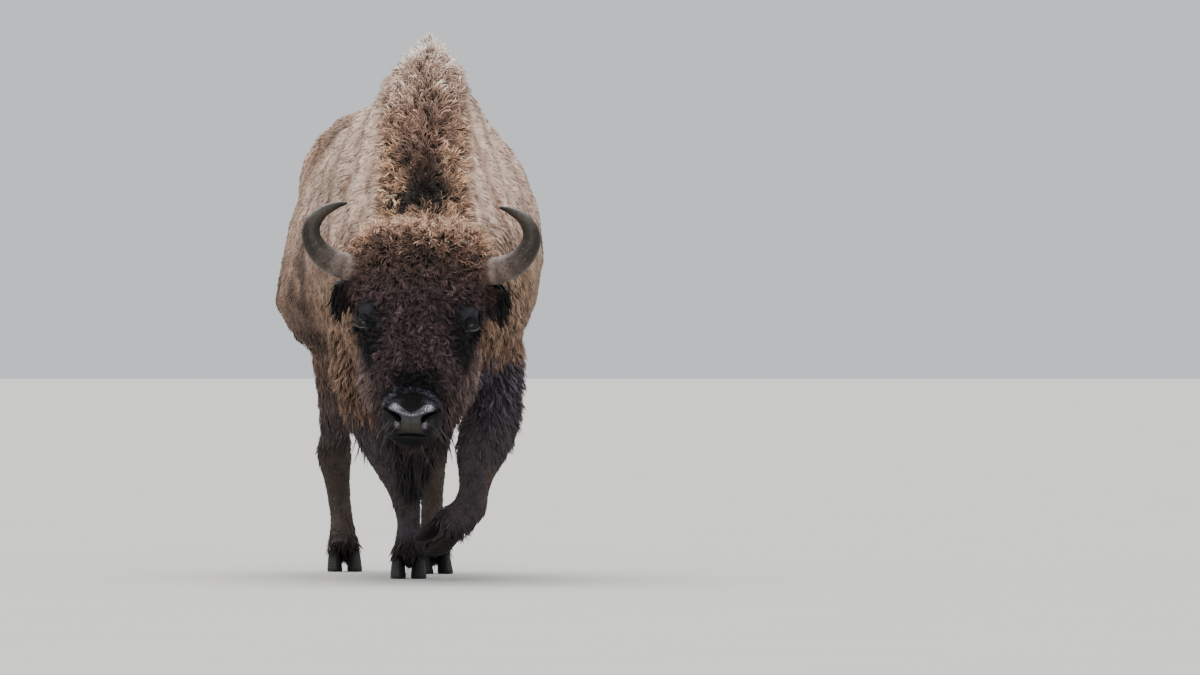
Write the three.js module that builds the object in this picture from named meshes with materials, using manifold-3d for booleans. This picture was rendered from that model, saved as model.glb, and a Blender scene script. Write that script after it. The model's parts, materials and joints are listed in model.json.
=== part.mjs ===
// A wisent bull (European bison) in mid-stride, as a still, life-size model.
// Millimetres, +Z up, the animal faces -Y and its left side is +X. The origin is on the
// floor under the middle of the model. Every solid reaches out to the tips of the coat.
import * as THREE from 'three';
import { mergeVertices } from 'three/addons/utils/BufferGeometryUtils.js';
import Module from 'manifold-3d';

const wasm = await Module();
wasm.setup();

// ---------------------------------------------------------------- driving dimensions

const HUMP_HEIGHT = 1720; // floor to the tips of the hair on the hump
const GAP = 0.4; // clearance between touching nodes
const MIN_PIECE = 1000; // mm3, smaller crumbs of a cut are dropped

const TRUNK_SIDES = 24; // points round the trunk
const HEAD_SIDES = 18; // points round the head
const LEG_SIDES = 12; // points round a leg
const HORN_SIDES = 10; // points round a horn
const HOOF_SIDES = 12; // points round a claw
const EAR_SIDES = 8; // points round an ear
const TAIL_SIDES = 10; // points round the tail
const DEWCLAW_SIDES = 6; // points round a dew claw

const HEAD_TILT = 17; // degrees, the nose stands this far forward of the crown
const HEAD_YAW = -10; // degrees, the face is turned towards the animal's right
const HEAD_ROLL = 1.7; // degrees, the left eye is the lower one
const FACE = new THREE.Vector3(-151, -1250, 789); // a point on the middle line of the face
const FACE_U = 355; // distance of that point below the crown, along the head
const EYE_U = 337; // distance of the eyes below the crown, along the head
const EYE_X = 164; // from the middle of the face to an eye
const EYE_V = -64; // how far the eyes lie behind the front of the face
const EYE_RADIUS = 22;

const HOOF = {
  length: 118, // heel to toe along the sole
  width: 54, // one claw
  cleft: 3, // half the space between the two claws
  height: 66, // sole to coronet
  rake: 34, // how far the coronet lies behind the sole
};
const PASTERN_ANGLE = 50; // degrees between the sole and the pastern
const CORONET_TO_FETLOCK = 75;

// ---------------------------------------------------------------- materials

const coat = (color) => new THREE.MeshStandardMaterial({ color, roughness: 0.95, metalness: 0 });
const PALE_COAT = coat('#b39a86');
const BROWN_COAT = coat('#7d6454');
const DARK_COAT = coat('#3a302f');
const FACE_COAT = coat('#4b3a36');
const HORN = new THREE.MeshStandardMaterial({ color: '#4f4642', roughness: 0.5, metalness: 0 });
const HOOF_HORN = new THREE.MeshStandardMaterial({ color: '#2b2725', roughness: 0.6, metalness: 0 });
const EYE = new THREE.MeshStandardMaterial({ color: '#120d0b', roughness: 0.08, metalness: 0 });
const NOSE_SKIN = new THREE.MeshStandardMaterial({ color: '#4a484c', roughness: 0.4, metalness: 0 });

// ---------------------------------------------------------------- solids and meshes

const rad = THREE.MathUtils.degToRad;
const vec = (x, y, z) => new THREE.Vector3(x, y, z);

/** A closed geometry as a manifold-3d solid. */
function solid(geometry) {
  const bare = geometry.clone();
  bare.deleteAttribute('normal');
  bare.deleteAttribute('uv');
  const merged = mergeVertices(bare, 1e-3);
  return new wasm.Manifold(new wasm.Mesh({
    numProp: 3,
    vertProperties: new Float32Array(merged.attributes.position.array),
    triVerts: new Uint32Array(merged.index.array),
  }));
}

/** The largest body of a cut. */
function mainBody(body) {
  const parts = body.decompose().filter((piece) => piece.volume() > MIN_PIECE);
  parts.sort((a, b) => b.volume() - a.volume());
  return parts[0];
}

/** A solid as a named three.js mesh. */
function mesh(name, body, material) {
  const data = mainBody(body).getMesh();
  const geometry = new THREE.BufferGeometry();
  geometry.setAttribute('position', new THREE.BufferAttribute(new Float32Array(data.vertProperties), 3));
  geometry.setIndex(new THREE.BufferAttribute(new Uint32Array(data.triVerts), 1));
  geometry.computeVertexNormals();
  const made = new THREE.Mesh(geometry, material);
  made.name = name;
  return made;
}

/** A closed skin over a row of rings that all have the same number of points. */
function loft(rings) {
  const sides = rings[0].length;
  const middle = (ring) => ring.reduce((sum, p) => sum.add(p), vec(0, 0, 0)).divideScalar(sides);
  const points = [...rings.flat(), middle(rings[0]), middle(rings.at(-1))];
  const first = rings.length * sides;
  const index = [];
  for (let i = 0; i < rings.length - 1; i += 1) {
    for (let j = 0; j < sides; j += 1) {
      const a = i * sides + j;
      const b = i * sides + ((j + 1) % sides);
      index.push(a, b, b + sides, a, b + sides, a + sides);
    }
  }
  for (let j = 0; j < sides; j += 1) {
    const next = (j + 1) % sides;
    index.push(first, next, j);
    index.push(first + 1, first - sides + j, first - sides + next);
  }
  const geometry = new THREE.BufferGeometry();
  geometry.setAttribute('position', new THREE.Float32BufferAttribute(points.flatMap((p) => p.toArray()), 3));
  geometry.setIndex(index);
  const body = solid(geometry);
  return body.volume() > 0 ? body : solid(flipped(geometry));
}

/** The same geometry with its faces turned over. */
function flipped(geometry) {
  const turned = geometry.clone();
  const index = Array.from(geometry.index.array);
  for (let i = 0; i < index.length; i += 3) {
    [index[i], index[i + 1]] = [index[i + 1], index[i]];
  }
  turned.setIndex(index);
  return turned;
}

/** Fields of a table of stations, smoothly filled in at `steps` places between each pair. */
function fill(stations, steps) {
  const keys = Object.keys(stations[0]);
  const rows = [];
  for (let i = 0; i < stations.length - 1; i += 1) {
    const around = [i - 1, i, i + 1, i + 2].map((k) => stations[THREE.MathUtils.clamp(k, 0, stations.length - 1)]);
    for (let s = 0; s < steps; s += 1) {
      const t = s / steps;
      rows.push(Object.fromEntries(keys.map((key) => [key, catmull(around.map((row) => row[key]), t)])));
    }
  }
  rows.push({ ...stations.at(-1) });
  return rows;
}

/** Catmull-Rom value at t between the two middle ones of four values. */
function catmull([a, b, c, d], t) {
  const slopeB = (c - a) / 2;
  const slopeC = (d - b) / 2;
  const t2 = t * t;
  const t3 = t2 * t;
  return (2 * t3 - 3 * t2 + 1) * b + (t3 - 2 * t2 + t) * slopeB + (3 * t2 - 2 * t3) * c + (t3 - t2) * slopeC;
}

/** Half-width of a superellipse of unit height at height s (0 to 1). */
const superWidth = (s, power) => Math.max(0, 1 - Math.min(1, s) ** power) ** (1 / power);

// ---------------------------------------------------------------- trunk and neck

// One row per cross-section, from the poll to the rump: place along the body, height of the
// back, of the shoulders beside it and of the underside, half-width of the barrel and its
// height, half-width of the ridge of the back, fullness of the upper side, sideways shift, and
// how far the belly swings out to the right.
const BODY = [
  { y: -1030, top: 1085, shoulder: 1050, under: 690, wide: 150, at: 880, ridge: 60, full: 2.2, x: -108, sway: 0 },
  { y: -900, top: 1195, shoulder: 1120, under: 590, wide: 218, at: 880, ridge: 66, full: 2.1, x: -84, sway: 0 },
  { y: -720, top: 1385, shoulder: 1235, under: 545, wide: 278, at: 920, ridge: 78, full: 2.0, x: -52, sway: 0 },
  { y: -520, top: 1585, shoulder: 1390, under: 535, wide: 322, at: 980, ridge: 84, full: 2.0, x: -26, sway: 0 },
  { y: -360, top: 1690, shoulder: 1465, under: 556, wide: 344, at: 1015, ridge: 89, full: 2.05, x: -10, sway: 0 },
  { y: -230, top: 1720, shoulder: 1492, under: 586, wide: 358, at: 1010, ridge: 93, full: 2.05, x: -2, sway: 0 },
  { y: -60, top: 1692, shoulder: 1495, under: 610, wide: 382, at: 980, ridge: 104, full: 2.08, x: 0, sway: 8 },
  { y: 150, top: 1615, shoulder: 1492, under: 618, wide: 408, at: 932, ridge: 130, full: 1.95, x: -6, sway: 24 },
  { y: 350, top: 1562, shoulder: 1488, under: 636, wide: 408, at: 928, ridge: 132, full: 1.9, x: -12, sway: 28 },
  { y: 550, top: 1532, shoulder: 1494, under: 688, wide: 352, at: 965, ridge: 130, full: 2.2, x: -22, sway: 14 },
  { y: 720, top: 1522, shoulder: 1505, under: 760, wide: 300, at: 1050, ridge: 124, full: 2.8, x: -28, sway: 0 },
  { y: 880, top: 1508, shoulder: 1480, under: 815, wide: 286, at: 1080, ridge: 112, full: 2.8, x: -33, sway: 0 },
  { y: 1040, top: 1458, shoulder: 1420, under: 865, wide: 262, at: 1110, ridge: 92, full: 2.5, x: -38, sway: 0 },
  { y: 1160, top: 1376, shoulder: 1340, under: 925, wide: 204, at: 1130, ridge: 72, full: 2.3, x: -42, sway: 0 },
  { y: 1240, top: 1262, shoulder: 1240, under: 1010, wide: 112, at: 1140, ridge: 50, full: 2.2, x: -44, sway: 0 },
];
const RIDGE_ROUND = 120; // the crest is rounded over this depth
const RIDGE_SLOPE = 0.42; // and flares by this much below that
const BELLY_FULL = 2.15; // fullness of the underside
const BLEND = 56; // how softly the ridge runs into the barrel
const SWAY_DEPTH = 140; // the belly's sway comes in over this height
const SWAY_START = 90; // from this far above the widest place
const BLADE = { y: -90, reach: 330, rise: 62 }; // the right shoulder blade bears weight and stands up

/** Half-width of one side of the body at a height, the ridge blended into the barrel. */
function bodyWidth(row, z, side) {
  if (z < row.at) {
    return row.wide * superWidth((row.at - z) / (row.at - row.under), BELLY_FULL);
  }
  const far = Math.min(1, Math.abs(row.y - BLADE.y) / BLADE.reach);
  const blade = side < 0 ? BLADE.rise * (1 - far * far) ** 2 : 0;
  const barrel = row.wide * superWidth((z - row.at) / (row.shoulder + blade - row.at), row.full);
  const depth = row.top - z;
  const crest = row.ridge * Math.sqrt(Math.min(1, depth / RIDGE_ROUND));
  const ridge = crest + RIDGE_SLOPE * Math.max(0, depth - RIDGE_ROUND);
  const near = Math.max(0, 1 - Math.abs(barrel - ridge) / BLEND);
  return Math.max(barrel, ridge) + ((near * near * BLEND) / 4) * Math.min(1, depth / BLEND);
}

/** One upright cross-section of the body. */
function bodyRing(row) {
  const ring = [];
  for (let i = 0; i < TRUNK_SIDES; i += 1) {
    const turn = (2 * Math.PI * i) / TRUNK_SIDES;
    const z = (row.top + row.under) / 2 + ((row.top - row.under) / 2) * Math.cos(turn);
    const side = Math.abs(Math.sin(turn)) < 1e-9 ? 0 : Math.sign(Math.sin(turn));
    const sway = row.sway * THREE.MathUtils.smoothstep(row.at + SWAY_START - z, 0, SWAY_DEPTH);
    ring.push(vec(row.x - sway + side * bodyWidth(row, z, side), row.y, z));
  }
  return ring;
}

const bodyLoft = loft(BODY.map(bodyRing));

// ---------------------------------------------------------------- limbs

/** Rings of a limb along a path, with half-widths a (side to side) and b (front to back). */
function limbRings(stations, sides, steps) {
  const rows = fill(stations, steps);
  const at = rows.map((row) => vec(row.x, row.y, row.z));
  const side = vec(1, 0, 0);
  let before = null;
  return rows.map((row, i) => {
    const along = at[Math.min(i + 1, at.length - 1)].clone().sub(at[Math.max(i - 1, 0)]).normalize();
    if (before) {
      side.applyQuaternion(new THREE.Quaternion().setFromUnitVectors(before, along));
    } else {
      side.addScaledVector(along, -side.dot(along)).normalize();
    }
    before = along;
    const front = along.clone().cross(side);
    return Array.from({ length: sides }, (_, j) => {
      const turn = (2 * Math.PI * j) / sides;
      return at[i].clone()
        .addScaledVector(side, row.a * Math.cos(turn))
        .addScaledVector(front, row.b * Math.sin(turn));
    });
  });
}

const LEGS = {
  foreleg_right: [
    { x: -200, y: -330, z: 900, a: 106, b: 190 },
    { x: -222, y: -340, z: 760, a: 118, b: 176 },
    { x: -212, y: -350, z: 640, a: 122, b: 152 },
    { x: -178, y: -345, z: 520, a: 112, b: 124 },
    { x: -140, y: -335, z: 430, a: 94, b: 98 },
    { x: -111, y: -330, z: 350, a: 76, b: 80 },
    { x: -92, y: -325, z: 290, a: 60, b: 64 },
    { x: -83, y: -320, z: 240, a: 49, b: 54 },
    { x: -76, y: -315, z: 185, a: 40, b: 48 },
    { x: -75, y: -310, z: 140, a: 43, b: 56 },
    { x: -77, y: -322, z: 98, a: 46, b: 54 },
    { x: -80, y: -336, z: 58, a: 55, b: 60 },
  ],
  foreleg_left: [
    { x: 180, y: -360, z: 900, a: 96, b: 190 },
    { x: 184, y: -400, z: 760, a: 100, b: 176 },
    { x: 180, y: -450, z: 640, a: 102, b: 150 },
    { x: 166, y: -515, z: 520, a: 100, b: 118 },
    { x: 136, y: -578, z: 436, a: 94, b: 96 },
    { x: 115, y: -598, z: 380, a: 80, b: 78 },
    { x: 105, y: -596, z: 325, a: 60, b: 62 },
    { x: 100, y: -582, z: 275, a: 51, b: 54 },
    { x: 92, y: -560, z: 225, a: 58, b: 60 },
    { x: 62, y: -548, z: 194, a: 54, b: 58 },
    { x: 32, y: -540, z: 174, a: 51, b: 54 },
    { x: 14, y: -536, z: 160, a: 54, b: 58 },
  ],
  hindleg_right: [
    { x: -180, y: 810, z: 1050, a: 100, b: 215 },
    { x: -192, y: 850, z: 900, a: 108, b: 240 },
    { x: -191, y: 884, z: 760, a: 96, b: 196 },
    { x: -183, y: 925, z: 650, a: 77, b: 148 },
    { x: -181, y: 982, z: 540, a: 61, b: 104 },
    { x: -176, y: 1042, z: 450, a: 54, b: 78 },
    { x: -177, y: 1078, z: 380, a: 62, b: 70 },
    { x: -168, y: 1070, z: 305, a: 47, b: 56 },
    { x: -162, y: 1045, z: 235, a: 40, b: 47 },
    { x: -158, y: 1015, z: 175, a: 40, b: 46 },
    { x: -156, y: 992, z: 132, a: 45, b: 55 },
    { x: -156, y: 968, z: 95, a: 47, b: 52 },
    { x: -156, y: 944, z: 58, a: 55, b: 60 },
  ],
  hindleg_left: [
    { x: 150, y: 740, z: 1050, a: 100, b: 215 },
    { x: 176, y: 740, z: 900, a: 112, b: 240 },
    { x: 184, y: 678, z: 760, a: 98, b: 194 },
    { x: 176, y: 674, z: 650, a: 80, b: 146 },
    { x: 152, y: 706, z: 550, a: 64, b: 104 },
    { x: 130, y: 738, z: 470, a: 54, b: 76 },
    { x: 117, y: 748, z: 408, a: 52, b: 68 },
    { x: 108, y: 712, z: 335, a: 45, b: 56 },
    { x: 100, y: 660, z: 255, a: 40, b: 47 },
    { x: 96, y: 612, z: 185, a: 40, b: 46 },
    { x: 95, y: 575, z: 137, a: 45, b: 55 },
    { x: 95, y: 545, z: 97, a: 47, b: 52 },
    { x: 95, y: 518, z: 58, a: 55, b: 60 },
  ],
};

const legLofts = Object.fromEntries(
  Object.entries(LEGS).map(([name, stations]) => [name, loft(limbRings(stations, LEG_SIDES, 1))]),
);

// ---------------------------------------------------------------- head

const headAxes = new THREE.Matrix4()
  .makeRotationZ(rad(HEAD_YAW))
  .multiply(new THREE.Matrix4().makeRotationY(rad(HEAD_ROLL)))
  .multiply(new THREE.Matrix4().makeRotationX(rad(-HEAD_TILT)));

/** Head place: x to the animal's left, u down from the crown, v out of the face. */
function headPoint(x, u, v) {
  return vec(x, -v, FACE_U - u).applyMatrix4(headAxes).add(FACE);
}

/** A cross-section of the head: half-width w, from its front face to its back. */
function headRing({ u, w, front, back, full }) {
  const middle = (front + back) / 2;
  return Array.from({ length: HEAD_SIDES }, (_, j) => {
    const turn = (2 * Math.PI * j) / HEAD_SIDES;
    const round = (t) => Math.sign(t) * Math.abs(t) ** (2 / full);
    return headPoint(w * round(Math.cos(turn)), u, middle + ((front - back) / 2) * round(Math.sin(turn)));
  });
}

// The mop of the crown, the forehead, the face and the muzzle.
const SKULL = [
  { u: -26, w: 100, front: -95, back: -155, full: 2.2 },
  { u: -16, w: 148, front: -62, back: -195, full: 2.3 },
  { u: 8, w: 190, front: -26, back: -238, full: 2.4 },
  { u: 48, w: 215, front: 8, back: -268, full: 2.4 },
  { u: 105, w: 223, front: 32, back: -286, full: 2.4 },
  { u: 172, w: 220, front: 38, back: -296, full: 2.4 },
  { u: 236, w: 208, front: 30, back: -296, full: 2.4 },
  { u: 300, w: 197, front: 17, back: -288, full: 2.4 },
  { u: 355, w: 188, front: 6, back: -276, full: 2.4 },
  { u: 420, w: 168, front: -2, back: -256, full: 2.4 },
  { u: 480, w: 140, front: -5, back: -230, full: 2.4 },
  { u: 540, w: 113, front: -3, back: -202, full: 2.5 },
  { u: 590, w: 100, front: 5, back: -182, full: 2.6 },
  { u: 640, w: 97, front: 9, back: -166, full: 2.6 },
  { u: 678, w: 88, front: -2, back: -150, full: 2.5 },
  { u: 702, w: 70, front: -24, back: -134, full: 2.4 },
  { u: 714, w: 42, front: -48, back: -112, full: 2.2 },
];

// The long hair of the cheeks and the lower jaw, which ends in the chin.
const CHEEKS = [
  { u: 285, w: 150, front: -95, back: -300, full: 2.2 },
  { u: 340, w: 186, front: -80, back: -325, full: 2.3 },
  { u: 400, w: 193, front: -76, back: -338, full: 2.3 },
  { u: 460, w: 190, front: -80, back: -338, full: 2.3 },
  { u: 517, w: 174, front: -88, back: -326, full: 2.3 },
  { u: 574, w: 146, front: -92, back: -304, full: 2.3 },
  { u: 631, w: 120, front: -88, back: -276, full: 2.3 },
  { u: 680, w: 92, front: -72, back: -240, full: 2.3 },
  { u: 712, w: 68, front: -66, back: -205, full: 2.3 },
  { u: 728, w: 34, front: -84, back: -170, full: 2.2 },
];

// The beard hangs from the chin and the throat.
const BEARD = [
  { u: 660, w: 66, front: -118, back: -262, full: 2.1 },
  { u: 705, w: 72, front: -98, back: -262, full: 2.1 },
  { u: 745, w: 62, front: -98, back: -244, full: 2.1 },
  { u: 780, w: 44, front: -110, back: -222, full: 2.1 },
  { u: 808, w: 26, front: -124, back: -200, full: 2.1 },
  { u: 828, w: 10, front: -142, back: -180, full: 2.1 },
];

const HORN_PATH = [
  { x: 186, u: 149, v: -96, r: 42 },
  { x: 226, u: 146, v: -88, r: 42.5 },
  { x: 268, u: 138, v: -74, r: 40 },
  { x: 309, u: 114, v: -56, r: 35.5 },
  { x: 336, u: 73, v: -42, r: 30 },
  { x: 335, u: 31, v: -36, r: 25 },
  { x: 309, u: -9, v: -38, r: 19 },
  { x: 271, u: -34, v: -46, r: 12.5 },
  { x: 236, u: -47, v: -55, r: 4 },
];

const EAR_PATH = [
  { x: 150, u: 172, v: -150, wide: 30, thick: 26 },
  { x: 196, u: 176, v: -152, wide: 36, thick: 28 },
  { x: 230, u: 192, v: -152, wide: 42, thick: 25 },
  { x: 248, u: 222, v: -152, wide: 40, thick: 21 },
  { x: 248, u: 256, v: -154, wide: 28, thick: 15 },
  { x: 240, u: 290, v: -157, wide: 9, thick: 6 },
];

/** A horn on one side, fattened by `more`. */
function horn(side, more) {
  const rows = fill(HORN_PATH, 2).map((row) => ({
    ...headPoint(side * row.x, row.u, row.v), a: row.r + more, b: row.r + more,
  }));
  return loft(limbRings(rows, HORN_SIDES, 1));
}

/** An ear on one side, fattened by `more`: a leaf that hangs out under the horn. */
function ear(side, more) {
  const rings = EAR_PATH.map((row, i) => {
    const next = EAR_PATH[Math.min(i + 1, EAR_PATH.length - 1)];
    const last = EAR_PATH[Math.max(i - 1, 0)];
    const along = new THREE.Vector2(next.x - last.x, next.u - last.u).normalize();
    return Array.from({ length: EAR_SIDES }, (_, j) => {
      const turn = (2 * Math.PI * j) / EAR_SIDES;
      const across = (row.wide + more) * Math.cos(turn);
      const x = row.x - along.y * across;
      return headPoint(side * x, row.u + along.x * across, row.v + (row.thick + more) * Math.sin(turn));
    });
  });
  return loft(rings);
}

/** An eye on one side, fattened by `more`. */
function eye(side, more) {
  const ball = new THREE.SphereGeometry(EYE_RADIUS + more, 10, 7);
  return solid(ball.translate(...headPoint(side * EYE_X, EYE_U, EYE_V).toArray()));
}

// ---------------------------------------------------------------- tail

const TAIL = [
  { x: -42, y: 1150, z: 1335, a: 44, b: 50 },
  { x: -44, y: 1224, z: 1300, a: 42, b: 42 },
  { x: -45, y: 1270, z: 1228, a: 34, b: 34 },
  { x: -46, y: 1286, z: 1120, a: 28, b: 28 },
  { x: -48, y: 1290, z: 1000, a: 25, b: 25 },
  { x: -50, y: 1290, z: 880, a: 26, b: 26 },
  { x: -52, y: 1288, z: 800, a: 34, b: 32 },
  { x: -54, y: 1286, z: 700, a: 46, b: 42 },
  { x: -55, y: 1284, z: 590, a: 46, b: 42 },
  { x: -56, y: 1282, z: 500, a: 30, b: 28 },
  { x: -56, y: 1281, z: 450, a: 8, b: 8 },
];
const TAIL_TUFT_TOP = 810;

// ---------------------------------------------------------------- hooves

/** One claw in foot axes: sole at z 0, toe towards -y; `side` says which way it bulges. */
function clawRings(side, more) {
  const levels = [
    { z: -more, size: 0.96, back: 0 },
    { z: 8, size: 1, back: 2 },
    { z: HOOF.height * 0.6, size: 0.88, back: HOOF.rake * 0.62 },
    { z: HOOF.height + more, size: 0.74, back: HOOF.rake },
  ];
  return levels.map(({ z, size, back }) => Array.from({ length: HOOF_SIDES }, (_, j) => {
    const turn = (2 * Math.PI * j) / HOOF_SIDES;
    const toe = Math.cos(turn);
    const bulge = Math.sin(turn);
    const long = (HOOF.length / 2) * size * (toe > 0 ? 1 : 0.86) + more;
    const wide = (HOOF.width / 2) * size * (toe > 0 ? 1 - 0.36 * toe * toe : 1) + more;
    const inner = bulge < 0 ? 0.84 : 1;
    const across = HOOF.cleft + HOOF.width / 2 + wide * bulge * inner;
    return vec(side * across, back - long * toe, z);
  }));
}

/** A dew claw behind the fetlock, in foot axes. */
function dewclawRings(side, more) {
  const levels = [
    { z: 74, r: 11, y: 98 },
    { z: 88, r: 16, y: 94 },
    { z: 106, r: 14, y: 84 },
    { z: 120, r: 7, y: 74 },
  ];
  return levels.map(({ z, r, y }) => Array.from({ length: DEWCLAW_SIDES }, (_, j) => {
    const turn = (2 * Math.PI * j) / DEWCLAW_SIDES;
    return vec(side * 24 + (r + more) * Math.cos(turn), y + (r + more) * Math.sin(turn), z);
  }));
}

/** Foot axes of a foot that stands flat: its sole's middle and its turn about the upright. */
function standing(x, y, turn) {
  return new THREE.Matrix4().makeTranslation(x, y, 0)
    .multiply(new THREE.Matrix4().makeRotationZ(rad(turn)));
}

/** Foot axes of the lifted foot, hung from its fetlock along the pastern. */
function hanging(fetlock, pastern, dorsal) {
  const along = pastern.clone().normalize();
  const out = dorsal.clone().addScaledVector(along, -dorsal.dot(along)).normalize();
  const c = Math.cos(rad(PASTERN_ANGLE));
  const s = Math.sin(rad(PASTERN_ANGLE));
  const toe = along.clone().multiplyScalar(c).addScaledVector(out, s);
  const up = along.clone().multiplyScalar(-s).addScaledVector(out, c);
  const back = toe.clone().negate();
  const side = back.clone().cross(up);
  const coronet = fetlock.clone().addScaledVector(along, CORONET_TO_FETLOCK);
  const sole = coronet.addScaledVector(up, -HOOF.height).addScaledVector(toe, HOOF.rake);
  return new THREE.Matrix4().makeBasis(side, back, up).setPosition(sole);
}

const FEET = {
  foreleg_right: standing(-81, -356, -4),
  foreleg_left: hanging(vec(82, -556, 214), vec(-0.74, 0.21, -0.64), vec(-0.25, -0.9, 0.3)),
  hindleg_right: standing(-156, 924, -3),
  hindleg_left: standing(95, 498, 4),
};

const inFoot = (rings, axes) => loft(rings.map((ring) => ring.map((p) => p.clone().applyMatrix4(axes))));

// ---------------------------------------------------------------- the whole body, then its cuts

/** A box by its lowest and highest corners, grown by `more`. */
function block(low, high, more) {
  const size = high.clone().sub(low).addScalar(2 * more);
  const at = low.clone().add(high).divideScalar(2);
  return solid(new THREE.BoxGeometry(size.x, size.y, size.z).translate(at.x, at.y, at.z));
}

/** Everything in front of a slanting plane across the neck, moved back by `more`. */
function ahead({ through, lean, turn }, more) {
  const reach = 3000;
  const box = new THREE.BoxGeometry(reach, reach, reach).translate(0, -reach / 2 + more, 0);
  box.applyMatrix4(new THREE.Matrix4().makeRotationX(rad(lean)));
  box.applyMatrix4(new THREE.Matrix4().makeRotationZ(rad(turn)));
  return solid(box.translate(through.x, through.y, through.z));
}

const LEG_BLOCKS = {
  foreleg_right: [vec(-460, -640, -20), vec(-28, -120, 700)],
  foreleg_left: [vec(28, -800, -20), vec(460, -200, 700)],
  foreleg_left_foot: [vec(-60, -700, 90), vec(28, -440, 300)],
  hindleg_right: [vec(-420, 560, -20), vec(-40, 1240, 860)],
  hindleg_left: [vec(40, 380, -20), vec(420, 940, 860)],
};
const NECK_CUT = { through: vec(0, -560, 1000), lean: -28, turn: -4 };
const HEAD_CUT = { through: vec(-100, -942, 820), lean: -5, turn: -6 };
const MUZZLE_U = 560; // the muzzle is cut off at this distance along the head
const JAW_U = 600; // and the beard behind it at this one

/** Everything past a distance along the head, between two depths behind the face. */
function headBlock(u, front, back, more) {
  const box = new THREE.BoxGeometry(800, front - back + 2 * more, 600);
  box.translate(0, -(front + back) / 2, FACE_U - u - 300 + more);
  return solid(box.applyMatrix4(headAxes).translate(FACE.x, FACE.y, FACE.z));
}

const head = loft(SKULL.map(headRing)).add(loft(CHEEKS.map(headRing))).add(loft(BEARD.map(headRing)));
const tail = loft(limbRings(TAIL, TAIL_SIDES, 1));
const scrotum = solid(new THREE.SphereGeometry(62, 10, 8).scale(0.9, 1, 1.35).translate(-26, 760, 780));
const sheath = solid(new THREE.SphereGeometry(60, 10, 8).scale(0.8, 2.2, 1).translate(-12, 330, 640));

const pieces = {};
let rest = Object.values(legLofts).reduce((sum, leg) => sum.add(leg), bodyLoft.add(head).add(scrotum).add(sheath));

for (const name of Object.keys(LEGS)) {
  const boxes = Object.keys(LEG_BLOCKS).filter((key) => key.startsWith(name)).map((key) => LEG_BLOCKS[key]);
  const cut = (more) => boxes.map(([low, high]) => block(low, high, more)).reduce((a, b) => a.add(b));
  pieces[name] = rest.intersect(cut(0));
  rest = rest.subtract(cut(GAP));
}
pieces.head = rest.intersect(ahead(HEAD_CUT, 0));
rest = rest.subtract(ahead(HEAD_CUT, GAP));
pieces.neck = rest.intersect(ahead(NECK_CUT, 0));
pieces.trunk = rest.subtract(ahead(NECK_CUT, GAP));

pieces.muzzle = pieces.head.intersect(headBlock(MUZZLE_U, 60, -75, 0));
pieces.head = pieces.head.subtract(headBlock(MUZZLE_U, 60, -75, GAP));
pieces.beard = pieces.head.intersect(headBlock(JAW_U, -75 - GAP, -420, 0));
pieces.head = pieces.head.subtract(headBlock(JAW_U, -75 - GAP, -420, GAP));

const tuftRoom = (more) => block(vec(-200, 1100, 300), vec(200, 1500, TAIL_TUFT_TOP), more);
pieces.tail_tuft = tail.intersect(tuftRoom(0));
pieces.tail = tail.subtract(tuftRoom(GAP)).subtract(bodyLoft);
const tailRoom = TAIL.map((row) => ({ ...row, a: row.a + GAP, b: row.b + GAP }));
pieces.trunk = pieces.trunk.subtract(loft(limbRings(tailRoom, TAIL_SIDES, 1)));

const LOOKS = {
  trunk: PALE_COAT, neck: BROWN_COAT, head: FACE_COAT, muzzle: NOSE_SKIN, beard: DARK_COAT,
  tail: BROWN_COAT, tail_tuft: DARK_COAT,
};

const bull = new THREE.Group();
const SIDES = { left: 1, right: -1 };

for (const [hand, side] of Object.entries(SIDES)) {
  const room = horn(side, GAP);
  for (const [part, body, look] of [
    ['horn', horn(side, 0), HORN],
    ['ear', ear(side, 0).subtract(room), DARK_COAT],
    ['eye', eye(side, 0), EYE],
  ]) {
    bull.add(mesh(`${part}_${hand}`, body, look));
  }
  pieces.head = pieces.head.subtract(room).subtract(ear(side, GAP)).subtract(eye(side, GAP));
  pieces.neck = pieces.neck.subtract(room).subtract(ear(side, GAP));
}

for (const [leg, axes] of Object.entries(FEET)) {
  for (const [hand, side] of Object.entries(SIDES)) {
    for (const [part, rings] of [['hoof', clawRings], ['dewclaw', dewclawRings]]) {
      pieces[leg] = pieces[leg].subtract(inFoot(rings(side, GAP), axes));
      bull.add(mesh(`${part}_${leg}_${hand}`, inFoot(rings(side, 0), axes), HOOF_HORN));
    }
  }
}

for (const [name, piece] of Object.entries(pieces)) {
  bull.add(mesh(name, piece, LOOKS[name] ?? DARK_COAT));
}

// ---------------------------------------------------------------- frame

const extent = new THREE.Box3().setFromObject(bull, true);
bull.position.set(-(extent.min.x + extent.max.x) / 2, -(extent.min.y + extent.max.y) / 2, -extent.min.z);
bull.updateMatrixWorld(true);

const built = extent.max.z - extent.min.z;
if (Math.abs(built - HUMP_HEIGHT) > 2) {
  throw new Error(`The hump stands ${built} mm above the floor, not ${HUMP_HEIGHT}`);
}

export default bull;
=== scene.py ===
"""A life-size wisent bull in mid-stride: its skin, coat, horns, hooves, nose and eyes.

Metres, +Z up. The bull faces -Y and its left side is +X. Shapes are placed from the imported
solids: the body frame is the one in which they were drawn, and the head has a frame of its
own, with x to the animal's left, u from the crown down to the chin and v out of the face.
"""

from __future__ import annotations

import json
import logging
import math
from collections.abc import Callable, Iterable, Iterator
from contextlib import contextmanager
from dataclasses import dataclass, field
from enum import Enum
from functools import partial

import bmesh
import bpy
import numpy as np
from mathutils import Matrix, Vector
from mathutils.bvhtree import BVHTree
from mathutils.kdtree import KDTree

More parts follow.
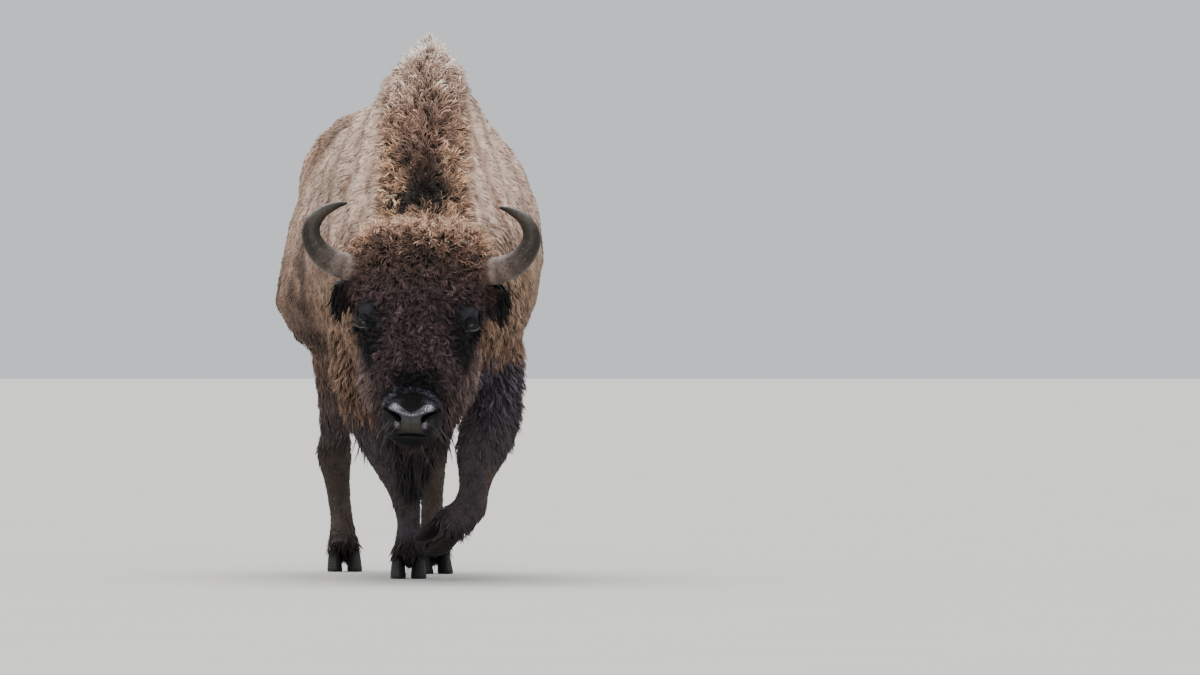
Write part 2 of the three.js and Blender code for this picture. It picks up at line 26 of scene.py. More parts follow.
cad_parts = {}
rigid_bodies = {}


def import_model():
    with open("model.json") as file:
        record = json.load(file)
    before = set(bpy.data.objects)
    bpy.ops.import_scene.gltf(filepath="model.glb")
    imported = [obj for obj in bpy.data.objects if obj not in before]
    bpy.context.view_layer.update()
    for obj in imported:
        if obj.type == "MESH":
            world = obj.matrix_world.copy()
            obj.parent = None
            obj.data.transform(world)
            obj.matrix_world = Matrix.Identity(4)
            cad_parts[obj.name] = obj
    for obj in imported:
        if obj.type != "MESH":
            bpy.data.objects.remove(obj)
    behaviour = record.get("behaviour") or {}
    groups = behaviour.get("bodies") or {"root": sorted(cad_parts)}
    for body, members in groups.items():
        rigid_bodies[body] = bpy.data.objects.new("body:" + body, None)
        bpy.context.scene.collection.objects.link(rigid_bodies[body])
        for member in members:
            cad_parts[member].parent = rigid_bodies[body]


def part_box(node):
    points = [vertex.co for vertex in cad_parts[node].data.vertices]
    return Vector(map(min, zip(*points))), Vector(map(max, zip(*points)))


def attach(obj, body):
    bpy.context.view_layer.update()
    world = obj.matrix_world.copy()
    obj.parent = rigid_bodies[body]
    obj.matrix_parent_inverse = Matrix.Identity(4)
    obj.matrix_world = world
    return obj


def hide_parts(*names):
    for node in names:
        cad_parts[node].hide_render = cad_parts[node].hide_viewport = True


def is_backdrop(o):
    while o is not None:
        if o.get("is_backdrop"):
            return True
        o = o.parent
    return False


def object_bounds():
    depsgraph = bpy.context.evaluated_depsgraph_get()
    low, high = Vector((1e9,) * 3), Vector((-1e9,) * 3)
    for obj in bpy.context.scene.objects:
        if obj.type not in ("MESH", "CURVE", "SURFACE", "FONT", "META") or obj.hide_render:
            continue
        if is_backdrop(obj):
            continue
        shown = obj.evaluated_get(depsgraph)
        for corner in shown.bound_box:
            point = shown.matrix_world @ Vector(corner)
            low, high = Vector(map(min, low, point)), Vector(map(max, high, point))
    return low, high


LOG = logging.getLogger("wisent")
ROOT = "root"
SIDES = {"left": 1.0, "right": -1.0}
FULL_TURN = 2 * math.pi
COAT_COLOUR = "Coat"
BARE_SHARE = "Bare"
BAKE_MAP = "OFBake"


# ---------------------------------------------------------------- numbers and noise


def smooth(low: float, high: float, value: np.ndarray) -> np.ndarray:
    """A soft step that is 0 at low and 1 at high, whichever of the two is larger.

    Args:
        low: The value where the step starts.
        high: The value where the step ends.
        value: The values to read.

    Returns:
        Weights from 0 to 1.
    """
    t = np.clip((value - low) / (high - low), 0.0, 1.0)
    return t * t * (3.0 - 2.0 * t)


def bump(value: np.ndarray, middle: float, half: float) -> np.ndarray:
    """A soft hump of height 1 at middle that falls to 0 at half away from it.

    Args:
        value: The values to read.
        middle: Where the hump stands.
        half: Its half-width.

    Returns:
        Weights from 0 to 1.
    """
    return smooth(half, 0.0, np.abs(value - middle))


def unit(vectors: np.ndarray) -> np.ndarray:
    """The same vectors at length 1.

    Args:
        vectors: An (n, 3) array.

    Returns:
        An (n, 3) array.
    """
    return vectors / (np.linalg.norm(vectors, axis=-1, keepdims=True) + 1e-12)


def flat(vectors: np.ndarray, normals: np.ndarray) -> np.ndarray:
    """Directions laid onto a surface.

    Args:
        vectors: The directions, (n, 3).
        normals: The surface's unit normals, (n, 3).

    Returns:
        Unit directions in the surface.
    """
    return unit(vectors - (vectors * normals).sum(1, keepdims=True) * normals)


class Ripple:
    """A smooth, seeded noise in space, made of plane waves of about one size."""

    def __init__(self, seed: int, size: float, waves: int = 12) -> None:
        """Draws the waves.

        Args:
            seed: Fixes the pattern.
            size: The distance between two like places, in metres.
            waves: How many waves are summed.
        """
        rng = np.random.default_rng(seed)
        self.turns = unit(rng.normal(size=(waves, 3))) * (FULL_TURN / size)
        self.turns *= rng.uniform(0.6, 1.5, (waves, 1))
        self.phase = rng.uniform(0, FULL_TURN, waves)

    def __call__(self, points: np.ndarray) -> np.ndarray:
        """The noise at some points, one value each, mostly between -1 and 1."""
        waves = np.sin(points @ self.turns.T + self.phase)
        return waves.sum(1) / math.sqrt(0.5 * len(self.phase)) * 0.6


def srgb(red: int, green: int, blue: int) -> np.ndarray:
    """A screen colour as linear light.

    Args:
        red: 0 to 255.
        green: 0 to 255.
        blue: 0 to 255.

    Returns:
        Three linear values.
    """
    value = np.array([red, green, blue], float) / 255.0
    return np.where(value <= 0.04045, value / 12.92, ((value + 0.055) / 1.055) ** 2.4)


# ---------------------------------------------------------------- the animal's own frames


@dataclass(frozen=True)
class Anatomy:
    """Where the body's parts lie, read from the solids.

    Attributes:
        tilt: How far the nose stands forward of the crown, degrees.
        yaw: The turn of the face towards the animal's right, degrees.
        roll: The lean of the head, degrees.
        face_u: Distance of the point that the head is drawn from below the crown.
        eye_u: Distance of the eyes below the crown, along the head.
        eye_x: Distance of an eye from the middle of the face.
        eye_v: Place of the eyes behind the front of the face.
        face: That point of the face in the frame where the body was drawn.
    """

    tilt: float = 17.0
    yaw: float = -10.0
    roll: float = 1.7
    face_u: float = 0.355
    eye_u: float = 0.337
    eye_x: float = 0.164
    eye_v: float = -0.064
    face: tuple[float, float, float] = (-0.151, -1.250, 0.789)

    def axes(self) -> np.ndarray:
        """The head's axes as the columns of a turning matrix."""
        turn = Matrix.Rotation(math.radians(self.yaw), 3, "Z")
        turn = turn @ Matrix.Rotation(math.radians(self.roll), 3, "Y")
        return np.array(turn @ Matrix.Rotation(math.radians(-self.tilt), 3, "X"))

    def origin(self) -> np.ndarray:
        """The point of the face that the head is drawn from, in the model's frame."""
        middle = np.zeros(3)
        for side in SIDES:
            low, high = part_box(f"eye_{side}")
            middle += (np.array(low) + np.array(high)) / 4
        return middle + self.axes() @ np.array([0.0, self.eye_v, self.eye_u - self.face_u])

    def head(self, points: np.ndarray) -> np.ndarray:
        """Points of the model's frame as head places, (n, 3) for x, u and v."""
        local = (points - self.origin()) @ self.axes()
        return np.stack([local[:, 0], self.face_u - local[:, 2], -local[:, 1]], 1)

    def from_head(self, places: np.ndarray) -> np.ndarray:
        """Head places, (n, 3) for x, u and v, as points of the model's frame."""
        local = np.stack([places[:, 0], -places[:, 2], self.face_u - places[:, 1]], 1)
        return local @ self.axes().T + self.origin()

    def eye_patch(self, x: np.ndarray, u: np.ndarray) -> np.ndarray:
        """How far out head places lie from the smooth skin round an eye, 1 on its rim."""
        return np.hypot((np.abs(x) - self.eye_x + 0.003) / 0.036, (u - self.eye_u + 0.038) / 0.040)

    def eye_streak(self, x: np.ndarray, u: np.ndarray) -> np.ndarray:
        """How far head places belong to the smooth streak beside an eye."""
        return bump(np.abs(x), self.eye_x - 0.050, 0.014) * bump(u, self.eye_u + 0.014, 0.028)

    def eye_shade(self, x: np.ndarray, u: np.ndarray) -> np.ndarray:
        """How far head places belong to the black hair round an eye."""
        out = np.hypot((np.abs(x) - self.eye_x + 0.018) / 0.054, (u - self.eye_u - 0.012) / 0.092)
        return smooth(1.15, 0.80, out)

    def head_vector(self, x: float, u: float, v: float) -> np.ndarray:
        """A direction given along the head's x, u and v, in the model's frame."""
        return self.axes() @ np.array([x, -v, -u])

    def body(self, points: np.ndarray) -> np.ndarray:
        """Points of the model's frame in the one where the body was drawn, spine over x = 0."""
        shift = self.origin() - np.array(self.face)
        return points - shift * np.array([1.0, 1.0, 0.0])

    def from_body(self, x: float, y: float, z: float) -> np.ndarray:
        """A point of the drawn body, in the model's frame."""
        shift = self.origin() - np.array(self.face)
        return np.array([x, y, z]) + shift * np.array([1.0, 1.0, 0.0])


# ---------------------------------------------------------------- meshes


def shown(name: str, data: bpy.types.ID) -> bpy.types.Object:
    """A new object in the scene that shows some data."""
    obj = bpy.data.objects.new(name, data)
    bpy.context.scene.collection.objects.link(obj)
    return obj


def arrays_to_object(name: str, verts: np.ndarray, faces: np.ndarray) -> bpy.types.Object:
    """An object from arrays.

    Args:
        name: The object's name.
        verts: An (n, 3) array.
        faces: An (m, k) array of vertex numbers, all with k corners.

    Returns:
        The new object, linked to the scene.
    """
    mesh = bpy.data.meshes.new(name)
    count, corners = faces.shape
    mesh.vertices.add(len(verts))
    mesh.vertices.foreach_set("co", verts.astype(np.float32).ravel())
    mesh.loops.add(count * corners)
    mesh.loops.foreach_set("vertex_index", faces.astype(np.int32).ravel())
    mesh.polygons.add(count)
    mesh.polygons.foreach_set("loop_start", np.arange(0, count * corners, corners, dtype=np.int32))
    mesh.polygons.foreach_set("use_smooth", np.ones(count, bool))
    mesh.update(calc_edges=True)
    mesh.validate()
    return shown(name, mesh)


def points_of(mesh: bpy.types.Mesh) -> np.ndarray:
    """A mesh's vertices as an (n, 3) array."""
    out = np.empty(len(mesh.vertices) * 3, np.float32)
    mesh.vertices.foreach_get("co", out)
    return out.reshape(-1, 3).astype(float)


def normals_of(mesh: bpy.types.Mesh) -> np.ndarray:
    """A mesh's vertex normals as an (n, 3) array."""
    out = np.empty(len(mesh.vertices) * 3, np.float32)
    mesh.vertex_normals.foreach_get("vector", out)
    return out.reshape(-1, 3).astype(float)


def put_points(mesh: bpy.types.Mesh, points: np.ndarray) -> None:
    """Moves a mesh's vertices.

    Args:
        mesh: The mesh.
        points: Their new places, (n, 3).
    """
    mesh.vertices.foreach_set("co", points.astype(np.float32).ravel())
    mesh.update()


def edges_of(mesh: bpy.types.Mesh) -> np.ndarray:
    """The vertex numbers at both ends of each edge, (n, 2)."""
    ends = np.empty(len(mesh.edges) * 2, np.int32)
    mesh.edges.foreach_get("vertices", ends)
    return ends.reshape(-1, 2)


def add_neighbours(total: np.ndarray, values: np.ndarray, ends: np.ndarray) -> None:
    """Adds the values of each vertex's neighbours to its own row.

    Args:
        total: The sums, (n, k), changed in place.
        values: The values on the vertices, (n, k).
        ends: The edges' ends.
    """
    for column in range(values.shape[1]):
        total[:, column] += np.bincount(ends[:, 0], values[ends[:, 1], column], len(values))
        total[:, column] += np.bincount(ends[:, 1], values[ends[:, 0], column], len(values))


def relax(mesh: bpy.types.Mesh, passes: int) -> None:
    """Smooths a mesh without shrinking it much.

    Args:
        mesh: The mesh.
        passes: How often each vertex moves towards its neighbours and back.
    """
    ends = edges_of(mesh)
    points = points_of(mesh)
    count = np.bincount(ends.ravel(), minlength=len(points))[:, None]
    for _ in range(passes):
        for step in (0.55, -0.5):
            total = np.zeros_like(points)
            add_neighbours(total, points, ends)
            points += step * (total / count - points)
    put_points(mesh, points)


def merged_copy(name: str, nodes: Iterable[str], grow: float) -> bpy.types.Object:
    """CAD nodes as one new object, each merged and grown a little.

    Args:
        name: The new object's name.
        nodes: The nodes' names.
        grow: How far each vertex moves outwards, to close the gaps between nodes.

    Returns:
        The new object.
    """
    whole = bmesh.new()
    for node in nodes:
        piece = bmesh.new()
        piece.from_mesh(bpy.data.objects[node].data)
        bmesh.ops.remove_doubles(piece, verts=piece.verts, dist=1e-5)
        piece.normal_update()
        for vert in piece.verts:
            vert.co += vert.normal * grow
        part = bpy.data.meshes.new("part")
        piece.to_mesh(part)
        piece.free()
        whole.from_mesh(part)
        bpy.data.meshes.remove(part)
    mesh = bpy.data.meshes.new(name)
    whole.to_mesh(mesh)
    whole.free()
    return shown(name, mesh)


def settle(obj: bpy.types.Object, modifier: bpy.types.Modifier) -> bpy.types.Mesh:
    """Replaces an object's mesh by what its modifier makes of it.

    Args:
        obj: The object, changed in place.
        modifier: Its only modifier, removed afterwards.

    Returns:
        The new mesh.
    """
    graph = bpy.context.evaluated_depsgraph_get()
    made = bpy.data.meshes.new_from_object(obj.evaluated_get(graph))
    obj.modifiers.remove(modifier)
    obj.data = made
    return made


def shade_smooth(mesh: bpy.types.Mesh) -> None:
    """Lets light run smoothly over a mesh's faces."""
    mesh.polygons.foreach_set("use_smooth", np.ones(len(mesh.polygons), bool))


def remeshed(obj: bpy.types.Object, voxel: float) -> None:
    """Makes an object one even, closed surface.

    Args:
        obj: The object, changed in place.
        voxel: The size of its new faces.
    """
    modifier = obj.modifiers.new("even", "REMESH")
    modifier.mode = "VOXEL"
    modifier.voxel_size = voxel
    shade_smooth(settle(obj, modifier))


def nodes_starting(*starts: str) -> tuple[str, ...]:
    """The names of the CAD nodes that begin with one of some words."""
    return tuple(name for name in bpy.data.objects.keys() if name.startswith(starts))


def tube_faces(rings: int, sides: int, closed: bool = False) -> np.ndarray:
    """Triangles over corners that stand in rings, one ring after another.

    Args:
        rings: How many rings there are.
        sides: How many corners each has.
        closed: Whether the last ring joins the first.

    Returns:
        An (n, 3) array of vertex numbers.
    """
    ring = np.arange(rings if closed else rings - 1)[:, None]
    here, there = ring * sides, (ring + 1) % rings * sides
    corner = np.arange(sides)
    beside = (corner + 1) % sides
    a, b, c, d = here + corner, here + beside, there + beside, there + corner
    return np.stack((a, b, c, a, c, d), -1).reshape(-1, 3)


def circle(turn: np.ndarray, first: np.ndarray, second: np.ndarray) -> np.ndarray:
    """Rings of directions, one ring for each pair of cross axes.

    Args:
        turn: The angles round a ring, (k,).
        first: The axes at angle 0, (n, 3).
        second: The axes a quarter turn on, (n, 3).

    Returns:
        An (n, k, 3) array.
    """
    cos, sin = np.cos(turn)[None, :, None], np.sin(turn)[None, :, None]
    return cos * first[:, None] + sin * second[:, None]


def set_map(mesh: bpy.types.Mesh, spots: np.ndarray) -> None:
    """Stores each vertex's place on the map that colours are baked to.

    Args:
        mesh: The mesh.
        spots: An (n, 2) array.
    """
    corners = np.empty(len(mesh.loops), np.int32)
    mesh.loops.foreach_get("vertex_index", corners)
    layer = mesh.uv_layers.new(name=BAKE_MAP)
    layer.data.foreach_set("uv", spots[corners].astype(np.float32).ravel())


@contextmanager
def edited(mesh: bpy.types.Mesh) -> Iterator[bmesh.types.BMesh]:
    """Opens a mesh for editing and writes it back at the end.

    Args:
        mesh: The mesh, changed in place.

    Yields:
        Its vertices, edges and faces.
    """
    shape = bmesh.new()
    shape.from_mesh(mesh)
    yield shape
    shape.to_mesh(mesh)
    shape.free()


def biggest_body(mesh: bpy.types.Mesh) -> None:
    """Leaves only the largest connected body of a mesh.

    Args:
        mesh: The mesh, changed in place.
    """
    with edited(mesh) as shape:
        shape.verts.ensure_lookup_table()
        label = np.full(len(shape.verts), -1)
        sizes: list[int] = []
        for vert in shape.verts:
            if label[vert.index] >= 0:
                continue
            stack = [vert]
            label[vert.index] = len(sizes)
            size = 0
            while stack:
                here = stack.pop()
                size += 1
                for edge in here.link_edges:
                    there = edge.other_vert(here)
                    if label[there.index] < 0:
                        label[there.index] = len(sizes)
                        stack.append(there)
            sizes.append(size)
        keep = int(np.argmax(sizes))
        loose = [vert for vert in shape.verts if label[vert.index] != keep]
        bmesh.ops.delete(shape, geom=loose, context="VERTS")


def paint(mesh: bpy.types.Mesh, name: str, colours: np.ndarray) -> None:
    """Stores a colour on each vertex.

    Args:
        mesh: The mesh.
        name: The attribute's name.
        colours: An (n, 3) array of linear colours.
    """
    layer = mesh.color_attributes.new(name, "FLOAT_COLOR", "POINT")
    full = np.ones((len(colours), 4), np.float32)
    full[:, :3] = np.clip(colours, 0.0, 1.0)
    layer.data.foreach_set("color", full.ravel())


def finish_piece(obj: bpy.types.Object, material: bpy.types.Material, slot: str) -> None:
    """Dresses a piece, lets it ride on the body and reports it.

    Args:
        obj: The piece.
        material: Its finish.
        slot: The record's material slot; not used.
    """
    obj.data.materials.clear()
    obj.data.materials.append(material)
    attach(obj, ROOT)
    obj.data.calc_loop_triangles()
    LOG.info("%s: %d triangles", obj.name, len(obj.data.loop_triangles))


# ---------------------------------------------------------------- finishes


def add_node(tree: bpy.types.NodeTree, kind: str, **values: object) -> bpy.types.Node:
    """A new node with some of its settings.

    Args:
        tree: The tree it joins.
        kind: The node's type name.
        values: Settings of the node by name.

    Returns:
        The node.
    """
    made = tree.nodes.new(kind)
    for key, value in values.items():
        setattr(made, key, value)
    return made


def fill(node: bpy.types.Node, values: dict[str, object]) -> None:
    """Sets a node's inputs by their names."""
    for key, value in values.items():
        node.inputs[key].default_value = value


class Sheet:
    """A small helper that lays out one material's nodes."""

    def __init__(self, name: str) -> None:
        """Starts an empty material with a Principled shader.

        Args:
            name: The material's name.
        """
        self.material = bpy.data.materials.new(name)
        self.material.use_nodes = True
        self.tree = self.material.node_tree
        self.shader = self.tree.nodes["Principled BSDF"]
        self.place = self.node("ShaderNodeTexCoord").outputs["Object"]

    def node(self, kind: str, **values: object) -> bpy.types.Node:
        """A new node of the material with some of its settings."""
        return add_node(self.tree, kind, **values)

    def link(self, out: bpy.types.NodeSocket, into: bpy.types.NodeSocket) -> None:
        """Joins two sockets."""
        self.tree.links.new(out, into)

    def feed(self, out: bpy.types.NodeSocket, name: str) -> None:
        """Joins a socket to one of the shader's inputs."""
        self.link(out, self.shader.inputs[name])

    def colour_between(self, dark: tuple[float, ...], light: tuple[float, ...],
                       share: bpy.types.NodeSocket) -> None:
        """Gives the shader a colour that wanders between two.

        Args:
            dark: The linear colour where the share is 0.
            light: The linear colour where the share is 1.
            share: The share's socket.
        """
        made = self.node("ShaderNodeMix", data_type="RGBA")
        fill(made, {"A": (*dark, 1.0), "B": (*light, 1.0)})
        self.link(share, made.inputs["Factor"])
        self.feed(made.outputs["Result"], "Base Color")

    def noise(self, scale: float, detail: float = 4.0, rough: float = 0.55) -> bpy.types.NodeSocket:
        """A noise over the object's own coordinates.

        Args:
            scale: How fine it is, in cells per metre.
            detail: Its octaves.
            rough: How strong the fine octaves are.

        Returns:
            The noise's value socket.
        """
        made = self.node("ShaderNodeTexNoise")
        fill(made, {"Scale": scale, "Detail": detail, "Roughness": rough})
        self.link(self.place, made.inputs["Vector"])
        return made.outputs["Fac"]

    def span(self, value: bpy.types.NodeSocket, low: float, high: float,
             out_low: float, out_high: float) -> bpy.types.NodeSocket:
        """A value brought from one range to another.

        Args:
            value: The socket to read.
            low: Its low end.
            high: Its high end.
            out_low: What the low end becomes.
            out_high: What the high end becomes.

        Returns:
            The new value's socket.
        """
        made = self.node("ShaderNodeMapRange")
        fill(made, {"From Min": low, "From Max": high, "To Min": out_low, "To Max": out_high})
        self.link(value, made.inputs["Value"])
        return made.outputs["Result"]

    def attribute(self, name: str) -> bpy.types.NodeSocket:
        """The colour stored on the surface under a name."""
        made = self.node("ShaderNodeVertexColor", layer_name=name)
        return made.outputs["Color"]

    def times(self, colour: bpy.types.NodeSocket, factor: bpy.types.NodeSocket) -> bpy.types.NodeSocket:
        """A colour made lighter or darker by a factor.

        Args:
            colour: The colour's socket.
            factor: The factor's socket.

        Returns:
            The new colour's socket.
        """
        made = self.node("ShaderNodeVectorMath", operation="SCALE")
        self.link(colour, made.inputs[0])
        self.link(factor, made.inputs["Scale"])
        return made.outputs["Vector"]

    def own_colour(self, *factors: bpy.types.NodeSocket) -> None:
        """Gives the shader the surface's stored colour, lighter or darker by each factor."""
        colour = self.attribute(COAT_COLOUR)
        for factor in factors:
            colour = self.times(colour, factor)
        self.feed(colour, "Base Color")

    def raise_by(self, height: bpy.types.NodeSocket, strength: float, distance: float) -> None:
        """Gives the shader a bump, over any it already has.

        Args:
            height: The height's socket.
            strength: From 0 to 1.
            distance: Its real depth in metres.
        """
        made = self.node("ShaderNodeBump")
        fill(made, {"Strength": strength, "Distance": distance})
        self.link(height, made.inputs["Height"])
        before = self.shader.inputs["Normal"]
        if before.links:
            self.link(before.links[0].from_socket, made.inputs["Normal"])
        self.link(made.outputs["Normal"], before)


@dataclass(frozen=True)
class HairFinish:
    """The look of the tufts: dull wool or glossier guard hair."""

    name: str
    roughness: float = 0.62
    specular: float = 0.14
    sheen: float = 0.0

    def build(self) -> bpy.types.Material:
        """Makes the material."""
        sheet = Sheet(self.name)
        fleck = sheet.span(sheet.noise(420.0, 3.0), 0.3, 0.7, 0.82, 1.18)
        patch = sheet.span(sheet.noise(34.0, 4.0), 0.3, 0.7, 0.9, 1.1)
        sheet.own_colour(fleck, patch)
        low, high = self.roughness - 0.08, self.roughness + 0.1
        sheet.feed(sheet.span(sheet.noise(150.0, 2.0), 0.3, 0.7, low, high), "Roughness")
        sheet.raise_by(sheet.noise(1400.0, 2.0), 0.35, 0.0006)
        fill(sheet.shader, {"Specular IOR Level": self.specular, "Sheen Weight": self.sheen,
                            "Sheen Roughness": 0.5})
        return sheet.material


@dataclass(frozen=True)
class SkinFinish:
    """The skin under the coat, with the nap of the short hair and the bare nose."""

    name: str = "short_coat"

    def build(self) -> bpy.types.Material:
        """Makes the material."""
        sheet = Sheet(self.name)
        fleck = sheet.span(sheet.noise(330.0, 4.0, 0.7), 0.3, 0.7, 0.62, 1.32)
        patch = sheet.span(sheet.noise(45.0, 5.0, 0.6), 0.3, 0.7, 0.84, 1.16)
        sheet.own_colour(fleck, patch)
        bare = sheet.node("ShaderNodeSeparateColor")
        sheet.link(sheet.attribute(BARE_SHARE), bare.inputs["Color"])
        sheet.feed(sheet.span(bare.outputs["Red"], 0.0, 1.0, 0.86, 0.36), "Roughness")
        cells = sheet.node("ShaderNodeTexVoronoi", feature="DISTANCE_TO_EDGE")
        fill(cells, {"Scale": 330.0})
        sheet.link(sheet.place, cells.inputs["Vector"])
        pebble = sheet.node("ShaderNodeMath", operation="MULTIPLY")
        sheet.link(sheet.span(cells.outputs["Distance"], 0.0, 0.25, 0.0, 1.0), pebble.inputs[0])
        sheet.link(bare.outputs["Red"], pebble.inputs[1])
        nap = sheet.node("ShaderNodeMath", operation="MULTIPLY")
        sheet.link(sheet.noise(520.0, 5.0, 0.75), nap.inputs[0])
        sheet.link(sheet.span(bare.outputs["Red"], 0.0, 1.0, 1.0, 0.12), nap.inputs[1])
        sheet.raise_by(nap.outputs["Value"], 0.8, 0.004)
        sheet.raise_by(pebble.outputs["Value"], 0.5, 0.0012)
        sheet.raise_by(sheet.noise(60.0, 4.0, 0.6), 0.35, 0.006)
        fill(sheet.shader, {"Specular IOR Level": 0.22})
        return sheet.material


@dataclass(frozen=True)
class HornFinish:
    """Grey-brown horn: rough and brown at the base, slate and smoother towards the tip."""

    name: str = "horn"

    def build(self) -> bpy.types.Material:
        """Makes the material."""
        sheet = Sheet(self.name)
        streak = sheet.span(sheet.noise(110.0, 6.0, 0.7), 0.32, 0.68, 0.45, 1.6)
        sheet.own_colour(streak)
        sheet.feed(sheet.span(sheet.noise(120.0, 4.0), 0.3, 0.7, 0.36, 0.62), "Roughness")
        sheet.raise_by(sheet.noise(260.0, 5.0, 0.7), 0.5, 0.0022)
        sheet.raise_by(sheet.noise(900.0, 3.0, 0.6), 0.3, 0.0006)
        fill(sheet.shader, {"Specular IOR Level": 0.3})
        return sheet.material


@dataclass(frozen=True)
class HoofFinish:
    """Dark hoof horn with growth rings."""

    name: str = "hoof"

    def build(self) -> bpy.types.Material:
        """Makes the material."""
        sheet = Sheet(self.name)
        rings = sheet.node("ShaderNodeTexWave", bands_direction="Z")
        fill(rings, {"Scale": 38.0, "Distortion": 2.5, "Detail": 3.0, "Detail Scale": 2.0})
        sheet.link(sheet.place, rings.inputs["Vector"])
        dark, light = (0.006, 0.005, 0.0045), (0.014, 0.012, 0.011)
        sheet.colour_between(dark, light, sheet.noise(70.0, 5.0, 0.65))
        sheet.feed(sheet.span(sheet.noise(160.0), 0.3, 0.7, 0.55, 0.8), "Roughness")
        fill(sheet.shader, {"Specular IOR Level": 0.25})
        sheet.raise_by(rings.outputs["Fac"], 0.4, 0.0015)
        sheet.raise_by(sheet.noise(500.0, 4.0), 0.3, 0.0008)
        return sheet.material


@dataclass(frozen=True)
class EyeFinish:
    """A wet, dark eye, whose colours are stored on its mesh."""

    name: str = "eye"

    def build(self) -> bpy.types.Material:
        """Makes the material."""
        sheet = Sheet(self.name)
        vein = sheet.span(sheet.noise(600.0, 4.0, 0.6), 0.3, 0.7, 0.75, 1.2)
        sheet.own_colour(vein)
        fill(sheet.shader, {"Roughness": 0.14, "Specular IOR Level": 0.22})
        return sheet.material


@dataclass(frozen=True)
class FloorFinish:
    """A plain pale studio floor."""

    name: str = "studio_floor"

    def build(self) -> bpy.types.Material:
        """Makes the material."""
        sheet = Sheet(self.name)
        sheet.colour_between((0.36, 0.36, 0.35), (0.39, 0.39, 0.38), sheet.noise(1.5, 3.0))
        fill(sheet.shader, {"Roughness": 0.85})
        return sheet.material


# ---------------------------------------------------------------- the coat's regions


class Region(Enum):
    """The kinds of coat on the animal."""

    CROWN = "crown"
    FOREHEAD = "forehead"
    FACE = "face"
    MUZZLE = "muzzle"
    CHEEK = "cheek"
    BEARD = "beard"
    MANE = "mane"
    RUFF = "ruff"
    SHOULDER = "shoulder"
    BODY = "body"
    BELLY = "belly"
    UPPER_LEG = "upper_leg"
    LOWER_LEG = "lower_leg"
    FETLOCK = "fetlock"
    EAR = "ear"
    TAIL = "tail"
    SWITCH = "switch"


@dataclass(frozen=True)
class Wool:
    """How the coat grows in one region. Lengths are in metres, angles in degrees.

    Attributes:
        depth: How far the skin lies inside the tips of the coat.
        length: A tuft's length.
        width: A tuft's width.
        root_lift: Its angle to the skin at the root.
        tip_lift: The same at the tip.
        scatter: How far its direction strays to either side.
        curl: Radius of its curls.
        waves: Number of curls along it.
        lock: How far its tip is drawn to the middle of its lock, as a share.
        density: Tufts on a square metre.
        rings: How finely it is divided.
    """

    depth: float
    length: float
    width: float
    root_lift: float
    tip_lift: float
    scatter: float
    curl: float
    waves: float
    lock: float
    density: float
    rings: int


COATS: dict[Region, Wool] = {
    Region.CROWN: Wool(0.036, 0.046, 0.0040, 44, 24, 62, 0.0085, 1.0, 0.85, 40000, 5),
    Region.FOREHEAD: Wool(0.024, 0.036, 0.0038, 36, 20, 56, 0.0070, 0.85, 0.85, 52000, 4),
    Region.FACE: Wool(0.011, 0.030, 0.0036, 28, 14, 44, 0.0055, 0.8, 0.80, 44000, 4),
    Region.MUZZLE: Wool(0.003, 0.012, 0.0024, 16, 8, 18, 0.0, 0.0, 0.20, 80000, 2),
    Region.CHEEK: Wool(0.022, 0.048, 0.0052, 28, 12, 26, 0.0050, 1.0, 0.65, 27000, 3),
    Region.BEARD: Wool(0.024, 0.110, 0.0046, 20, 4, 10, 0.0035, 0.8, 0.60, 24000, 4),
    Region.MANE: Wool(0.034, 0.044, 0.0050, 38, 18, 56, 0.0085, 0.85, 0.85, 25000, 4),
    Region.RUFF: Wool(0.018, 0.044, 0.0064, 20, 8, 20, 0.0045, 0.9, 0.65, 12500, 3),
    Region.SHOULDER: Wool(0.007, 0.020, 0.0058, 12, 5, 15, 0.0, 0.0, 0.30, 12500, 2),
    Region.BODY: Wool(0.007, 0.023, 0.0074, 10, 4, 13, 0.0, 0.0, 0.30, 6700, 2),
    Region.BELLY: Wool(0.014, 0.046, 0.0084, 18, 6, 16, 0.0035, 0.8, 0.50, 6700, 3),
    Region.UPPER_LEG: Wool(0.010, 0.036, 0.0072, 14, 6, 16, 0.0025, 0.8, 0.45, 8800, 3),
    Region.LOWER_LEG: Wool(0.004, 0.018, 0.0056, 11, 5, 12, 0.0, 0.0, 0.25, 11500, 2),
    Region.FETLOCK: Wool(0.003, 0.036, 0.0050, 20, 8, 16, 0.0, 0.0, 0.45, 18000, 3),
    Region.EAR: Wool(0.006, 0.042, 0.0042, 18, 4, 12, 0.0, 0.0, 0.45, 36000, 3),
    Region.TAIL: Wool(0.008, 0.032, 0.0064, 13, 5, 10, 0.0, 0.0, 0.20, 14000, 2),
    Region.SWITCH: Wool(0.026, 0.140, 0.0055, 14, 2, 8, 0.0040, 0.8, 0.50, 18000, 4),
}

FLESH: dict[str, tuple[str, ...]] = {
    "head": ("head",),
    "muzzle": ("muzzle",),
    "beard": ("beard",),
    "neck": ("neck",),
    "trunk": ("trunk",),
    "leg": ("foreleg_left", "foreleg_right", "hindleg_left", "hindleg_right"),
    "ear": ("ear_left", "ear_right"),
    "tail": ("tail",),
    "switch": ("tail_tuft",),
}


